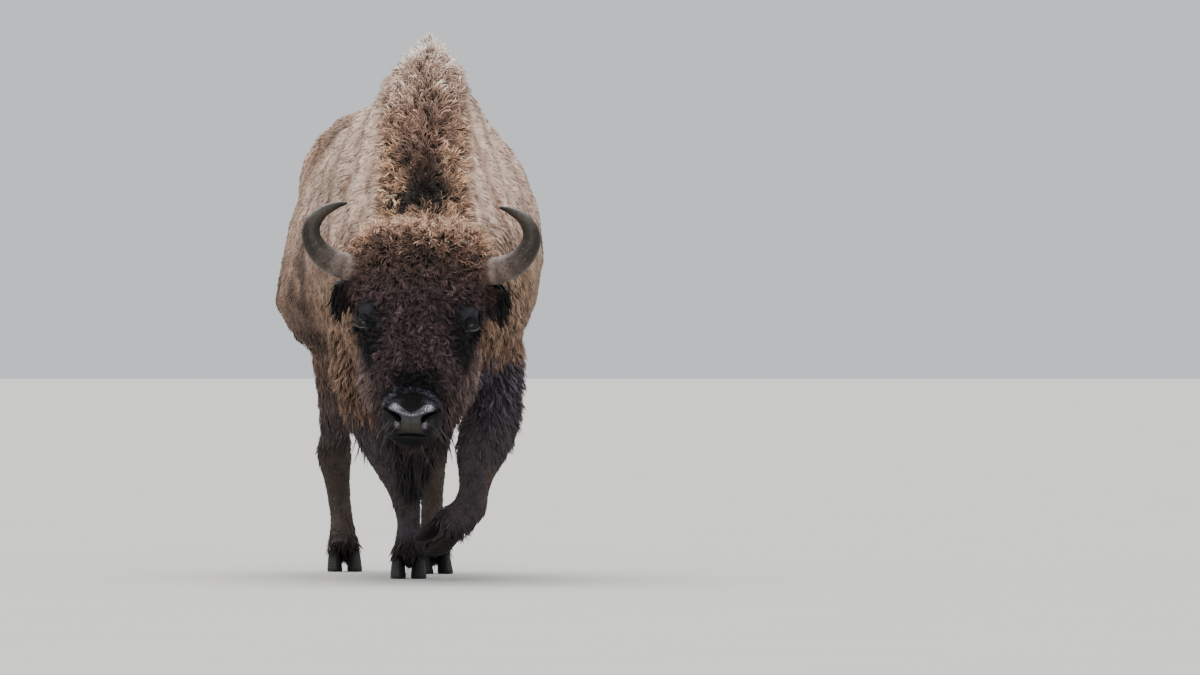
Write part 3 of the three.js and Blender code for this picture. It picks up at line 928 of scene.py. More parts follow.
class Solids:
    """Finds what lies nearest to a point among some of the CAD nodes."""

    def __init__(self, groups: dict[str, tuple[str, ...]]) -> None:
        """Gathers the nodes' faces.

        Args:
            groups: Node names by group.
        """
        verts: list[Vector] = []
        faces: list[tuple[int, ...]] = []
        self.owner: list[int] = []
        for number, nodes in enumerate(groups.values()):
            for node in nodes:
                mesh = bpy.data.objects[node].data
                start = len(verts)
                verts.extend(vert.co.copy() for vert in mesh.vertices)
                for polygon in mesh.polygons:
                    faces.append(tuple(start + corner for corner in polygon.vertices))
                    self.owner.append(number)
        self.tree = BVHTree.FromPolygons(verts, faces)

    def nearest(self, points: np.ndarray) -> tuple[np.ndarray, np.ndarray]:
        """The nearest group and the distance to it.

        Args:
            points: An (n, 3) array.

        Returns:
            The group numbers and the distances.
        """
        group = np.zeros(len(points), int)
        distance = np.zeros(len(points))
        for index, point in enumerate(points):
            hit = self.tree.find_nearest(point)
            group[index] = self.owner[hit[2]]
            distance[index] = hit[3]
        return group, distance


def spread(mesh: bpy.types.Mesh, values: np.ndarray, passes: int) -> np.ndarray:
    """Values on a mesh's vertices, blurred along its edges.

    Args:
        mesh: The mesh.
        values: An (n, k) array.
        passes: How often each vertex takes the average of itself and its neighbours.

    Returns:
        An (n, k) array.
    """
    ends = edges_of(mesh)
    count = 1.0 + np.bincount(ends.ravel(), minlength=len(values))
    out = values.astype(float)
    for _ in range(passes):
        total = out.copy()
        add_neighbours(total, out, ends)
        out = total / count[:, None]
    return out


@dataclass
class Map:
    """Says for any place on the animal which region of coat it belongs to.

    Attributes:
        anatomy: The animal's frames.
        blend: How often the borders between parts are blurred.
    """

    anatomy: Anatomy
    blend: int = 6
    ridge_y: np.ndarray = field(init=False)
    ridge_z: np.ndarray = field(init=False)

    def __post_init__(self) -> None:
        """Reads the line of the back from the solids."""
        points = np.concatenate([points_of(bpy.data.objects[name].data) for name in ("trunk", "neck")])
        body = self.anatomy.body(points)
        self.ridge_y = np.linspace(-0.95, 1.2, 16)
        top = [body[np.abs(body[:, 1] - y) < 0.12, 2].max(initial=0.6) for y in self.ridge_y]
        self.ridge_z = np.array(top)

    @staticmethod
    def nape(y: np.ndarray) -> np.ndarray:
        """Where the middle of neck and back lies across, for places along the body."""
        return np.interp(y, [-1.03, -0.06, 0.5, 1.2], [-0.108, 0.0, -0.02, -0.044])

    def below_ridge(self, body: np.ndarray) -> np.ndarray:
        """How far points lie below the line of the back, in metres."""
        return np.interp(body[:, 1], self.ridge_y, self.ridge_z) - body[:, 2]

    def weights(self, mesh: bpy.types.Mesh) -> np.ndarray:
        """Weights of all regions on each vertex, adding up to 1.

        Args:
            mesh: The skin or any mesh near it.

        Returns:
            An (n, regions) array in the order of Region.
        """
        points = points_of(mesh)
        normals = normals_of(mesh)
        solids = Solids(FLESH)
        group, _ = solids.nearest(points)
        parts = spread(mesh, np.eye(len(FLESH))[group], self.blend)
        part = {name: parts[:, number] for number, name in enumerate(FLESH)}
        x, u, v = self.anatomy.head(points).T
        body = self.anatomy.body(points)
        found: dict[Region, np.ndarray] = {}
        crown = smooth(0.17, 0.08, u)
        upper = smooth(0.32, 0.22, u + 0.25 * np.abs(x))
        front = smooth(-0.120, -0.060, v)
        found[Region.CROWN] = part["head"] * crown
        found[Region.FOREHEAD] = part["head"] * (1 - crown) * upper
        low = part["head"] * (1 - crown) * (1 - upper)
        found[Region.FACE] = low * front
        found[Region.CHEEK] = low * (1 - front)
        nose = smooth(0.53, 0.58, u)
        found[Region.MUZZLE] = part["muzzle"] * nose
        found[Region.FACE] += part["muzzle"] * (1 - nose)
        lip = smooth(0.76, 0.715, u) * smooth(-0.13, -0.09, v)
        found[Region.MUZZLE] += part["beard"] * lip
        found[Region.BEARD] = part["beard"] * (1 - lip)
        drop = self.below_ridge(body)
        nape = np.abs(body[:, 0] - self.nape(body[:, 1]))
        half = np.interp(body[:, 1], [-0.9, -0.2, 0.1, 0.4], [0.135, 0.112, 0.085, 0.05])
        mane = smooth(1.25, 0.70, nape / half) * smooth(0.60, 0.45, drop)
        mane *= smooth(0.45, 0.25, body[:, 1])
        ahead = smooth(0.16, -0.10, body[:, 1])
        under = smooth(-0.45, -0.80, normals[:, 2])
        ruff = smooth(-0.48, -0.68, body[:, 1]) * smooth(1.16, 1.00, body[:, 2])
        ruff = np.maximum(ruff, smooth(0.94, 0.78, body[:, 2]) * smooth(-0.10, -0.24, body[:, 1]))
        hide = part["neck"] + part["trunk"]
        found[Region.MANE] = hide * mane
        found[Region.RUFF] = hide * (1 - mane) * ruff
        found[Region.BELLY] = hide * (1 - mane) * (1 - ruff) * under
        rest = hide * (1 - mane) * (1 - ruff) * (1 - under)
        found[Region.SHOULDER] = rest * ahead
        found[Region.BODY] = rest * (1 - ahead)
        upper_leg = smooth(0.34, 0.46, points[:, 2])
        shaggy = smooth(0.10, -0.10, body[:, 1]) * smooth(0.46, 0.58, body[:, 2])
        _, near = Solids({"hoof": nodes_starting("hoof_")}).nearest(points)
        found[Region.UPPER_LEG] = part["leg"] * upper_leg * (1 - shaggy)
        found[Region.RUFF] += part["leg"] * upper_leg * shaggy
        found[Region.FETLOCK] = part["leg"] * smooth(0.075, 0.045, near)
        found[Region.LOWER_LEG] = part["leg"] * (1 - upper_leg) * smooth(0.045, 0.075, near)
        found[Region.EAR] = part["ear"]
        found[Region.TAIL] = part["tail"]
        found[Region.SWITCH] = part["switch"]
        table = np.stack([found[region] for region in Region], 1)
        return table / (table.sum(1, keepdims=True) + 1e-9)


def blended(weights: np.ndarray, name: str) -> np.ndarray:
    """One of the coat's numbers, blended between regions.

    Args:
        weights: Region weights, (n, regions).
        name: The field of Wool to read.

    Returns:
        One value for each row.
    """
    return weights @ np.array([getattr(COATS[region], name) for region in Region], float)


# ---------------------------------------------------------------- muzzle


class Muzzle:
    """The shapes of the nose, in places across (x) and down (u) the head."""

    SLIT = ((0.0375, 0.6545, 0.0080), (0.043, 0.6460, 0.0085), (0.053, 0.6375, 0.0068),
            (0.068, 0.6280, 0.0052), (0.084, 0.6130, 0.0036))
    ARCH = ((0.0, 0.5595, 0.008), (0.045, 0.566, 0.008), (0.074, 0.586, 0.009), (0.092, 0.610, 0.008))

    @staticmethod
    def stroke(x: np.ndarray, u: np.ndarray,
               path: tuple[tuple[float, float, float], ...]) -> np.ndarray:
        """How far points lie from a drawn line, as a share of its half-width there.

        Args:
            x: Places across the head.
            u: Places down the head.
            path: Corners of the line with the half-width at each, on the left side.

        Returns:
            One value each: under 1 inside the line.
        """
        across = np.abs(x)
        best = np.full(len(x), 99.0)
        for (xa, ua, wa), (xb, ub, wb) in zip(path[:-1], path[1:]):
            span = (xb - xa) ** 2 + (ub - ua) ** 2
            t = np.clip(((across - xa) * (xb - xa) + (u - ua) * (ub - ua)) / span, 0.0, 1.0)
            gap = np.hypot(across - xa - t * (xb - xa), u - ua - t * (ub - ua))
            best = np.minimum(best, gap / (wa + t * (wb - wa)))
        return best

    @classmethod
    def slit(cls, x: np.ndarray, u: np.ndarray) -> np.ndarray:
        """How far points lie from a nostril, 1 on its rim."""
        return cls.stroke(x, u, cls.SLIT)

    @classmethod
    def arch(cls, x: np.ndarray, u: np.ndarray) -> np.ndarray:
        """How far points belong to the haired ridge over the nose."""
        return smooth(1.3, 0.4, cls.stroke(x, u, cls.ARCH))

    @staticmethod
    def hollow(x: np.ndarray, u: np.ndarray) -> np.ndarray:
        """How far points lie in the hollow under the ridge, which is painted black as shade."""
        return np.exp(-((x / 0.036) ** 2 + ((u - 0.602) / 0.021) ** 2))

    @staticmethod
    def wings(x: np.ndarray, u: np.ndarray) -> np.ndarray:
        """How far points belong to the upper band of the bare nose, pale with painted highlights.

        Args:
            x: Places across the head.
            u: Places down the head.

        Returns:
            Weights from 0 to 1.
        """
        across = np.abs(x)
        places = (0.0, 0.012, 0.024, 0.036, 0.048, 0.060, 0.074)
        top = np.interp(across, places, (0.638, 0.632, 0.622, 0.612, 0.606, 0.605, 0.612))
        low = np.interp(across, places, (0.649, 0.649, 0.647, 0.642, 0.636, 0.630, 0.622))
        rim = smooth(-0.007, 0.006, u - top) * smooth(0.004, -0.002, u - low)
        return rim * smooth(0.082, 0.058, across)

    @staticmethod
    def wedge(x: np.ndarray, u: np.ndarray) -> np.ndarray:
        """How far points belong to the bare strip between nostrils and lip.

        Args:
            x: Places across the head.
            u: Places down the head.

        Returns:
            Weights from 0 to 1.
        """
        half = np.interp(u, (0.640, 0.655, 0.680, 0.694), (0.034, 0.030, 0.030, 0.044))
        inside = smooth(0.003, -0.003, np.abs(x) - half)
        return inside * smooth(0.638, 0.646, u) * smooth(0.696, 0.690, u)

    @staticmethod
    def lobes(x: np.ndarray, u: np.ndarray) -> np.ndarray:
        """How far points belong to the lobes under the nostrils' inner ends, painted pale as a wet
        highlight.
        """
        return bump(np.abs(x) + 0.25 * (u - 0.670), 0.043, 0.013) * bump(u, 0.670, 0.017)

    @classmethod
    def pad(cls, x: np.ndarray, u: np.ndarray) -> np.ndarray:
        """How far points belong to the bare nose at all."""
        lobes = smooth(0.2, 0.6, cls.lobes(x, u))
        return np.maximum(np.maximum(cls.wings(x, u), cls.wedge(x, u)), lobes)

    @staticmethod
    def mouth(v: np.ndarray) -> np.ndarray:
        """Where the line of the lips runs: down at the front, up towards the corners."""
        return 0.6960 + 0.55 * np.minimum(v + 0.040, 0.0)


# ---------------------------------------------------------------- markings


@dataclass
class Markings:
    """The colours of skin and coat at any place, worked out from where it lies.

    Attributes:
        anatomy: The animal's frames.
        regions: The map of regions, for the line of the back.
        rib_gap: From one rib to the next.
        pleat_gap: From one fold of the shoulder's skin to the next.
        crease_gap: From one fine crease to the next.
        broad: Clouds about as wide as the neck.
        medium: Clouds about as wide as a hand.
        fine: Flecks about as wide as a lock of wool.
    """

    anatomy: Anatomy
    regions: Map
    rib_gap: float = 0.085
    pleat_gap: float = 0.080
    crease_gap: float = 0.027
    broad: Ripple = field(default_factory=lambda: Ripple(11, 0.34))
    medium: Ripple = field(default_factory=lambda: Ripple(12, 0.12))
    fine: Ripple = field(default_factory=lambda: Ripple(13, 0.045))

    def colour(self, points: np.ndarray, weights: np.ndarray) -> np.ndarray:
        """The colour of the coat at some points of the skin.

        Args:
            points: An (n, 3) array in the model's frame.
            weights: Their region weights.

        Returns:
            An (n, 3) array of linear colours.
        """
        body = self.anatomy.body(points)
        share = {region: weights[:, number] for number, region in enumerate(Region)}
        hide = self.hide(body, points)
        mane = self.mane(body, points)
        colour = np.zeros((len(points), 3))
        for region in (Region.BODY, Region.SHOULDER, Region.BELLY, Region.RUFF):
            colour += share[region][:, None] * hide
        colour += share[Region.MANE][:, None] * mane
        leg = share[Region.UPPER_LEG] + share[Region.LOWER_LEG] + share[Region.FETLOCK]
        colour += leg[:, None] * self.legs(body, points)
        head = self.head(points)
        for region in (Region.CROWN, Region.FOREHEAD, Region.FACE, Region.MUZZLE, Region.CHEEK):
            colour += share[region][:, None] * head
        colour += share[Region.BEARD][:, None] * srgb(17, 14, 14)
        colour += share[Region.EAR][:, None] * srgb(11, 9, 9)
        colour += share[Region.TAIL][:, None] * srgb(86, 68, 58)
        colour += share[Region.SWITCH][:, None] * srgb(30, 24, 22)
        tone = 1.0 + 0.10 * self.broad(points) + 0.10 * self.medium(points) + 0.10 * self.fine(points)
        return colour * np.clip(tone, 0.6, 1.5)[:, None]

    @staticmethod
    def shoulder(y: np.ndarray, z: np.ndarray) -> np.ndarray:
        """How far places belong to the pale neck and shoulders."""
        return smooth(0.40, -0.10, y) * smooth(0.86, 1.12, z)

    @staticmethod
    def ribs(x: np.ndarray, y: np.ndarray, z: np.ndarray) -> np.ndarray:
        """How far places lie over the ribs."""
        barrel = bump(y, 0.36, 0.34) * smooth(0.80, 0.95, z) * smooth(1.42, 1.25, z)
        return barrel * smooth(0.10, 0.2, np.abs(x))

    def rib_wave(self, points: np.ndarray, y: np.ndarray, z: np.ndarray) -> np.ndarray:
        """1 on a rib and -1 between two."""
        return np.sin(FULL_TURN * (y + 0.22 * z) / self.rib_gap + 0.8 * self.broad(points))

    def pleat_wave(self, points: np.ndarray, x: np.ndarray, y: np.ndarray) -> np.ndarray:
        """1 on a fold of the shoulder's skin and -1 between two."""
        return np.sin(FULL_TURN * (np.abs(x) + 0.30 * y) / self.pleat_gap + self.broad(points))

    def crease_wave(self, points: np.ndarray, x: np.ndarray, y: np.ndarray) -> np.ndarray:
        """1 in a fine crease of the shoulder's skin."""
        drift = 2.2 * self.broad(points) + self.medium(points)
        return np.sin(FULL_TURN * (np.abs(x) + 0.30 * y) / self.crease_gap + drift)

    @staticmethod
    def border(x: np.ndarray) -> np.ndarray:
        """The height where the dark of the forelegs begins: higher on the lifted leg."""
        return 0.60 + 0.09 * np.tanh(x / 0.10)

    def hide(self, body: np.ndarray, points: np.ndarray) -> np.ndarray:
        """Flanks, shoulders, ribs and haunches, with painted light and shade on their folds, creases,
        ribs, flank hollow, hip and behind the shoulder.

        Args:
            body: Points in the body frame.
            points: The same in the model's frame.

        Returns:
            An (n, 3) array of linear colours.
        """
        x, y, z = body.T
        cloud = self.medium(points)
        colour = np.tile(srgb(158, 129, 109), (len(body), 1))
        pale = self.shoulder(y, z)
        mix(colour, srgb(208, 182, 165), pale)
        # Painted shade in the grooves between the folds of the shoulder's skin.
        groove = (0.5 - 0.5 * self.pleat_wave(body, x, y)) ** 2
        mix(colour, srgb(126, 99, 84), pale * groove * np.clip(0.65 + 0.5 * cloud, 0, 1))
        mix(colour, srgb(142, 116, 101), pale * np.clip(0.9 * self.fine(points) - 0.1, 0.0, 0.7))
        # Painted shade in the fine creases of the shoulder's skin.
        crease = np.clip(self.crease_wave(points, x, y), 0.0, 1.0) ** 3
        mix(colour, srgb(112, 88, 76), pale * crease * np.clip(0.35 + 0.8 * cloud, 0, 1))
        ribs = self.ribs(x, y, z)
        band = 0.5 + 0.5 * self.rib_wave(body, y, z)
        # Painted light on the ribs and painted shade between them.
        mix(colour, srgb(194, 166, 146), ribs * band * 0.35)
        mix(colour, srgb(118, 95, 83), ribs * (1 - band) ** 2 * 0.35)
        mix(colour, srgb(150, 122, 106), smooth(0.65, 0.95, y) * 0.8)
        # Painted shade in the hollow of the flank before the hip.
        hollow = bump(y + 0.3 * (z - 1.38), 0.60, 0.17) * bump(z, 1.36, 0.26)
        mix(colour, srgb(72, 58, 52), hollow * 0.85)
        # Painted light on the raised point of the hip.
        mix(colour, srgb(206, 180, 160), bump(y, 0.83, 0.13) * bump(z, 1.32, 0.20) * 0.8)
        low = smooth(1.04, 0.78, z + 0.06 * cloud)
        mix(colour, srgb(112, 89, 76), low * smooth(-0.30, 0.05, y))
        mix(colour, srgb(128, 103, 88), np.clip(0.8 * cloud, 0.0, 0.6) * smooth(0.15, 0.45, y))
        # Partly darker hair, partly painted shade behind the shoulder.
        behind = bump(y + 0.05 * cloud, -0.01, 0.12) * smooth(1.34, 1.04, z)
        mix(colour, srgb(72, 56, 49), behind * 0.85)
        front = smooth(-0.12, -0.26, y)
        mix(colour, srgb(156, 129, 109), front * smooth(1.08, 0.94, z + 0.05 * cloud))
        mix(colour, srgb(128, 103, 86), front * smooth(0.90, 0.74, z + 0.05 * cloud))
        mix(colour, srgb(84, 66, 56), smooth(0.66, 0.56, z) * smooth(-0.30, -0.60, y))
        mix(colour, srgb(80, 63, 54), smooth(0.84, 0.62, z) * smooth(-0.4, 0.0, y))
        edge = self.border(x) - 0.05 * smooth(0.24, 0.30, np.abs(x)) - 0.14 * smooth(-0.17, -0.23, x)
        dark = smooth(edge + 0.05, edge - 0.03, z + 0.03 * cloud) * smooth(0.10, 0.0, y)
        mix(colour, srgb(72, 66, 75), dark)
        return colour

    def mane(self, body: np.ndarray, points: np.ndarray) -> np.ndarray:
        """The wool of hump and nape, dark in the middle of the nape and pale on top, partly as painted
        light from above.

        Args:
            body: Points in the body frame.
            points: The same in the model's frame.

        Returns:
            An (n, 3) array of linear colours.
        """
        x, y, z = body.T
        across = np.abs(x - self.regions.nape(y))
        medium = self.medium(points)
        cloud = np.clip(0.5 + medium, 0, 1)
        edge = smooth(0.042, 0.092, across + 0.024 * self.fine(body) + 0.02 * medium)
        colour = np.tile(srgb(142, 113, 98), (len(body), 1))
        # Paler towards the top of the hump: partly paler hair, partly painted light from above.
        mix(colour, srgb(170, 141, 126), smooth(1.42, 1.54, z))
        mix(colour, srgb(232, 204, 190), smooth(1.57, 1.68, z))
        patchy = 1 - edge * (1 - 0.5 * cloud)
        mix(colour, srgb(108, 83, 71), patchy * smooth(1.52, 1.40, z) * 0.75)
        mix(colour, srgb(54, 39, 32), patchy * smooth(1.42, 1.27, z) * 0.85)
        mix(colour, srgb(24, 17, 14), (1 - edge) * smooth(1.28, 1.18, z))
        mix(colour, srgb(174, 138, 110), edge * smooth(1.50, 1.34, z) * 0.9)
        mix(colour, srgb(134, 104, 82), edge * smooth(1.36, 1.20, z) * cloud)
        return colour

    def legs(self, body: np.ndarray, points: np.ndarray) -> np.ndarray:
        """Dark forelegs, browner on the outside, browner hind legs and near black feet.

        Args:
            body: Points in the body frame.
            points: The same in the model's frame.

        Returns:
            An (n, 3) array of linear colours.
        """
        x, y, z = body.T
        cloud = self.medium(points) + 0.6 * self.fine(points)
        rear = smooth(0.05, 0.25, y)
        colour = np.tile(srgb(64, 58, 63), (len(body), 1))
        knee = smooth(0.38, 0.33, z) * smooth(0.17, 0.24, z) * (1 - rear)
        mix(colour, srgb(74, 62, 57), knee * np.clip(0.6 + 0.6 * cloud, 0, 1))
        ahead = 1 - rear
        rim = smooth(0.25, 0.31, x + 0.02 * cloud) * smooth(0.42, 0.56, z)
        mix(colour, srgb(96, 77, 66), ahead * rim * 0.8)
        right = smooth(-0.17, -0.25, x + 0.02 * cloud)
        mix(colour, srgb(120, 95, 79), ahead * right * smooth(0.44, 0.60, z + 0.05 * cloud))
        edge = self.border(x)
        mix(colour, srgb(122, 97, 81), ahead * smooth(edge, edge + 0.10, z + 0.06 * cloud))
        mix(colour, srgb(116, 91, 74), rear * smooth(0.38, 0.80, z + 0.04 * cloud))
        mix(colour, srgb(70, 60, 54), rear * smooth(0.52, 0.36, z))
        mix(colour, srgb(34, 29, 29), smooth(0.16, 0.08, z) * smooth(0.0, 0.3, np.abs(y + 0.54) + z))
        return colour

    def head(self, points: np.ndarray) -> np.ndarray:
        """Rusty crown, dark forehead and face, near black muzzle and eye patches.

        Args:
            points: Points in the model's frame.

        Returns:
            An (n, 3) array of linear colours.
        """
        x, u, v = self.anatomy.head(points).T
        colour = np.tile(srgb(67, 54, 56), (len(points), 1))
        mix(colour, srgb(72, 53, 45), bump(u, 0.14, 0.13) * 0.85)
        rim = smooth(0.125, 0.005, u + 0.03 * self.fine(points) + 0.02 * self.medium(points))
        mix(colour, srgb(184, 145, 122), rim)
        corner = smooth(0.155, 0.205, np.abs(x)) * smooth(0.16, 0.08, u)
        mix(colour, srgb(176, 140, 114), corner * 0.6)
        side = smooth(-0.10, -0.16, v) * smooth(0.20, 0.40, u)
        mix(colour, srgb(104, 88, 85), side)
        mix(colour, srgb(62, 52, 52), side * smooth(0.48, 0.60, u))
        front = smooth(-0.10, -0.05, v)
        mix(colour, srgb(10, 9, 11), smooth(0.455, 0.495, u) * smooth(0.085, 0.050, np.abs(x)) * front)
        mix(colour, srgb(10, 9, 11), smooth(0.525, 0.560, u) * front)
        arch = Muzzle.arch(x, u)
        streak = np.clip(0.50 + 0.8 * self.fine(points * 3) + 0.9 * self.fine(points * 9), 0.0, 1.0)
        across = np.abs(x)
        under = smooth(0.016, 0.042, across) * smooth(0.085, 0.070, across) * bump(u, 0.598, 0.014)
        mix(colour, srgb(76, 73, 88), np.maximum(arch, 0.85 * under) * front * streak)
        mix(colour, srgb(46, 42, 44), smooth(0.63, 0.66, u) * front * smooth(0.05, 0.08, np.abs(x)))
        mix(colour, srgb(22, 20, 23), self.anatomy.eye_shade(x, u) * smooth(-0.16, -0.11, v))
        return colour


def mix(colour: np.ndarray, other: np.ndarray, weight: np.ndarray) -> None:
    """Moves colours towards another colour, in place.

    Args:
        colour: An (n, 3) array, changed in place.
        other: The colour to move to.
        weight: How far, one value each.
    """
    colour += (other - colour) * np.clip(weight, 0.0, 1.0)[:, None]


# ---------------------------------------------------------------- skin


@dataclass
class EyePlace:
    """Where an eye sits and which way it looks, in head places.

    Attributes:
        anatomy: The animal's frames.
        side: 1 for the left eye, -1 for the right.
        radius: The ball's radius.
        half_length: Half the length of the opening between the lids.
        half_height: Half its height.
        outward: How far it looks sideways rather than forwards, degrees.
        slant: How far the inner corner lies below the outer one, degrees.
    """

    anatomy: Anatomy
    side: float
    radius: float = 0.022
    half_length: float = 0.0205
    half_height: float = 0.0145
    outward: float = 36.0
    slant: float = 32.0

    def middle(self) -> np.ndarray:
        """The ball's middle in the model's frame."""
        place = np.array([[self.side * self.anatomy.eye_x, self.anatomy.eye_u, self.anatomy.eye_v]])
        return self.anatomy.from_head(place)[0]

    def axes(self) -> np.ndarray:
        """Rows: along the lids towards the nose, up across them, and out of the head."""
        turn = math.radians(self.outward)
        out = self.anatomy.head_vector(self.side * math.sin(turn), -0.05, math.cos(turn))
        lean = math.radians(self.slant)
        along = self.anatomy.head_vector(-self.side * math.cos(turn), 0.0, math.sin(turn))
        up = self.anatomy.head_vector(0.0, -1.0, 0.0)
        along = along * math.cos(lean) - up * math.sin(lean)
        out = out / np.linalg.norm(out)
        along = along - out * (along @ out)
        along = along / np.linalg.norm(along)
        up = np.cross(out, along) * self.side
        up = up * np.sign(up @ self.anatomy.head_vector(0.0, -1.0, 0.0))
        return np.stack([along, up, out])

    def local(self, points: np.ndarray) -> np.ndarray:
        """Points as places along, up and out of the eye."""
        return (points - self.middle()) @ self.axes().T

    def points(self, local: np.ndarray) -> np.ndarray:
        """Places round the eye, as points in the model's frame."""
        return local @ self.axes() + self.middle()

    def opening(self, local: np.ndarray) -> np.ndarray:
        """How far out points lie in the almond between the lids, 1 on its rim."""
        return np.hypot(local[:, 0] / self.half_length, local[:, 1] / self.reach(local[:, 1]))

    def reach(self, up: np.ndarray) -> np.ndarray:
        """Half the opening's height: a little more above its middle than below."""
        return np.where(up > 0, self.half_height * 1.1, self.half_height * 0.9)

    @staticmethod
    def on_ball(along: np.ndarray, up: np.ndarray, radius: float) -> np.ndarray:
        """Local points on a ball round the eye's middle, from two of their places."""
        out = np.sqrt(np.maximum(radius ** 2 - along ** 2 - up ** 2, 1e-6))
        return np.stack([along, up, out], 1)


@dataclass
class Skin:
    """The one closed skin under the whole coat, sculpted at the muzzle and the eyes.

    Attributes:
        anatomy: The animal's frames.
        regions: The map of the coat.
        markings: Its colours.
        voxel: Size of its faces on the body.
        gap: How far the solids are grown to close the gaps between them.
        folds: The folds round an eye: their height, their middle and half-width in sizes of
            the opening, and how far up they start and are full, in heights of the opening.
    """

    anatomy: Anatomy
    regions: Map
    markings: Markings
    voxel: float = 0.0142
    gap: float = 0.0008
    folds: tuple[tuple[float, ...], ...] = (
        (-0.0045, 1.70, 0.25, -0.2, 0.4),
        (0.0030, 2.10, 0.30, -0.2, 0.4),
        (-0.0030, 2.45, 0.22, 0.0, 0.6),
        (-0.0035, 1.95, 0.25, 0.2, -0.4),
        (-0.0025, 2.70, 0.25, 0.0, -0.6),
        (0.007, 3.4, 1.1, 0.5, 1.6),
    )
    obj: bpy.types.Object = field(init=False)
    table: np.ndarray = field(init=False)
    bare: np.ndarray = field(init=False)

    def build(self) -> None:
        """Makes the skin."""
        nodes = [node for group in FLESH.values() for node in group]
        self.obj = merged_copy("skin", nodes, self.gap)
        remeshed(self.obj, self.voxel)
        biggest_body(self.obj.data)
        relax(self.obj.data, 6)
        self.sink()
        self.relief()
        self.refine()
        self.sculpt()
        self.table = self.regions.weights(self.obj.data)
        points = points_of(self.obj.data)
        self.bare = self.bareness(points)
        colours = self.markings.colour(points, self.table)
        # Painted shade: the skin is darker where the coat over it is deep, and darker still under the
        # curled wool.
        colours *= (1 - 0.85 * smooth(0.006, 0.03, blended(self.table, "depth")))[:, None]
        colours *= (1 - 0.60 * smooth(0.002, 0.005, blended(self.table, "curl")))[:, None]
        self.tint(points, colours)
        paint(self.obj.data, COAT_COLOUR, colours)
        paint(self.obj.data, BARE_SHARE, np.repeat(self.bare[:, None], 3, 1))
        finish_piece(self.obj, SkinFinish().build(), "coat_brown")
        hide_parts(*nodes)

    def eyes(self) -> list[EyePlace]:
        """The places of both eyes."""
        return [EyePlace(self.anatomy, side) for side in SIDES.values()]

    def sink(self, steps: int = 4) -> None:
        """Draws the surface in by the coat's depth.

        Args:
            steps: How many moves it is done in.
        """
        mesh = self.obj.data
        table = self.regions.weights(mesh)
        depth = blended(table, "depth")
        points = points_of(mesh)
        _, near = Solids({"hoof": nodes_starting("hoof_")}).nearest(points)
        depth *= 1.0 - 0.7 * smooth(0.05, 0.01, near)
        _, near = Solids({"horn": nodes_starting("horn_")}).nearest(points)
        depth *= 1.0 - 0.45 * smooth(0.07, 0.0, near)
        for eye in self.eyes():
            distance = np.linalg.norm(points - eye.middle(), axis=1)
            depth *= 1.0 - 0.7 * smooth(0.085, 0.035, distance)
        depth = spread(mesh, depth[:, None], 4)[:, 0]
        for _ in range(steps):
            put_points(mesh, points_of(mesh) - normals_of(mesh) * (depth / steps)[:, None])
            relax(mesh, 1)

    def relief(self) -> None:
        """Raises ribs and hips, hollows the flanks and pleats the shoulders' skin."""
        mesh = self.obj.data
        table = self.regions.weights(mesh)
        hide = sum(table[:, list(Region).index(region)] for region in (Region.BODY, Region.SHOULDER))
        points = points_of(mesh)
        x, y, z = self.anatomy.body(points).T
        push = 0.0028 * self.markings.ribs(x, y, z) * self.markings.rib_wave(points, y, z)
        push += 0.0075 * self.markings.shoulder(y, z) * self.markings.pleat_wave(points, x, y)
        push -= 0.020 * bump(y, 0.62, 0.17) * bump(z, 1.31, 0.17)
        push += 0.012 * bump(y, 0.83, 0.14) * bump(z, 1.32, 0.16)
        elbow = bump(y + 0.5 * (z - 0.9), 0.20, 0.07)
        push -= 0.008 * elbow * smooth(1.25, 1.0, z) * smooth(0.6, 0.8, z)
        put_points(mesh, points + normals_of(mesh) * (push * hide)[:, None])

    def refine(self) -> None:
        """Divides the skin's faces finer and finer towards muzzle and eyes."""
        for reach in (0.035, 0.015, 0.0):
            mesh = self.obj.data
            points = points_of(mesh)
            _, u, v = self.anatomy.head(points).T
            near = smooth(0.545 - reach, 0.550 - reach, u) * smooth(0.730 + reach, 0.725 + reach, u)
            near *= smooth(-0.105 - reach, -0.100 - reach, v)
            for eye in self.eyes():
                distance = np.linalg.norm(points - eye.middle(), axis=1)
                near = np.maximum(near, smooth(0.040 + reach, 0.035 + reach, distance))
            with edited(mesh) as shape:
                edges = [edge for edge in shape.edges
                         if sum(near[vert.index] for vert in edge.verts) > 1.0]
                bmesh.ops.subdivide_edges(shape, edges=edges, cuts=1, use_grid_fill=True)
                large = [face for face in shape.faces if len(face.verts) > 4]
                bmesh.ops.triangulate(shape, faces=large)
            shade_smooth(mesh)
            relax(mesh, 2)

    def sculpt(self) -> None:
        """Shapes nostrils, lips, nose pad, lids and folds."""
        mesh = self.obj.data
        points = points_of(mesh)
        place = self.anatomy.head(points)
        x, u, v = place.T
        front = smooth(-0.12, -0.07, v) * smooth(0.50, 0.54, u)
        slit = Muzzle.slit(x, u)
        inner = smooth(0.085, 0.045, np.abs(x))
        push = -(0.007 + 0.019 * inner) * smooth(1.15, 0.25, slit)
        push += 0.003 * bump(slit, 1.6, 0.55)
        across = np.abs(x)
        push -= 0.0025 * smooth(0.004, 0.0, across) * smooth(0.648, 0.658, u) * smooth(0.692, 0.68, u)
        push -= 0.015 * Muzzle.hollow(x, u)
        push += 0.005 * Muzzle.arch(x, u) + 0.005 * Muzzle.wings(x, u)
        push += 0.004 * Muzzle.lobes(x, u)
        line = Muzzle.mouth(v)
        fade = 1 - 0.6 * smooth(0.030, 0.055, across)
        push -= 0.011 * smooth(0.0050, 0.0, np.abs(u - line)) * fade
        push += 0.003 * bump(u - line, -0.012, 0.010) + 0.004 * bump(u - line, 0.013, 0.009)
        place[:, 2] += push * front
        points = self.anatomy.from_head(place)
        points = self.set_lids(points)
        put_points(mesh, points)

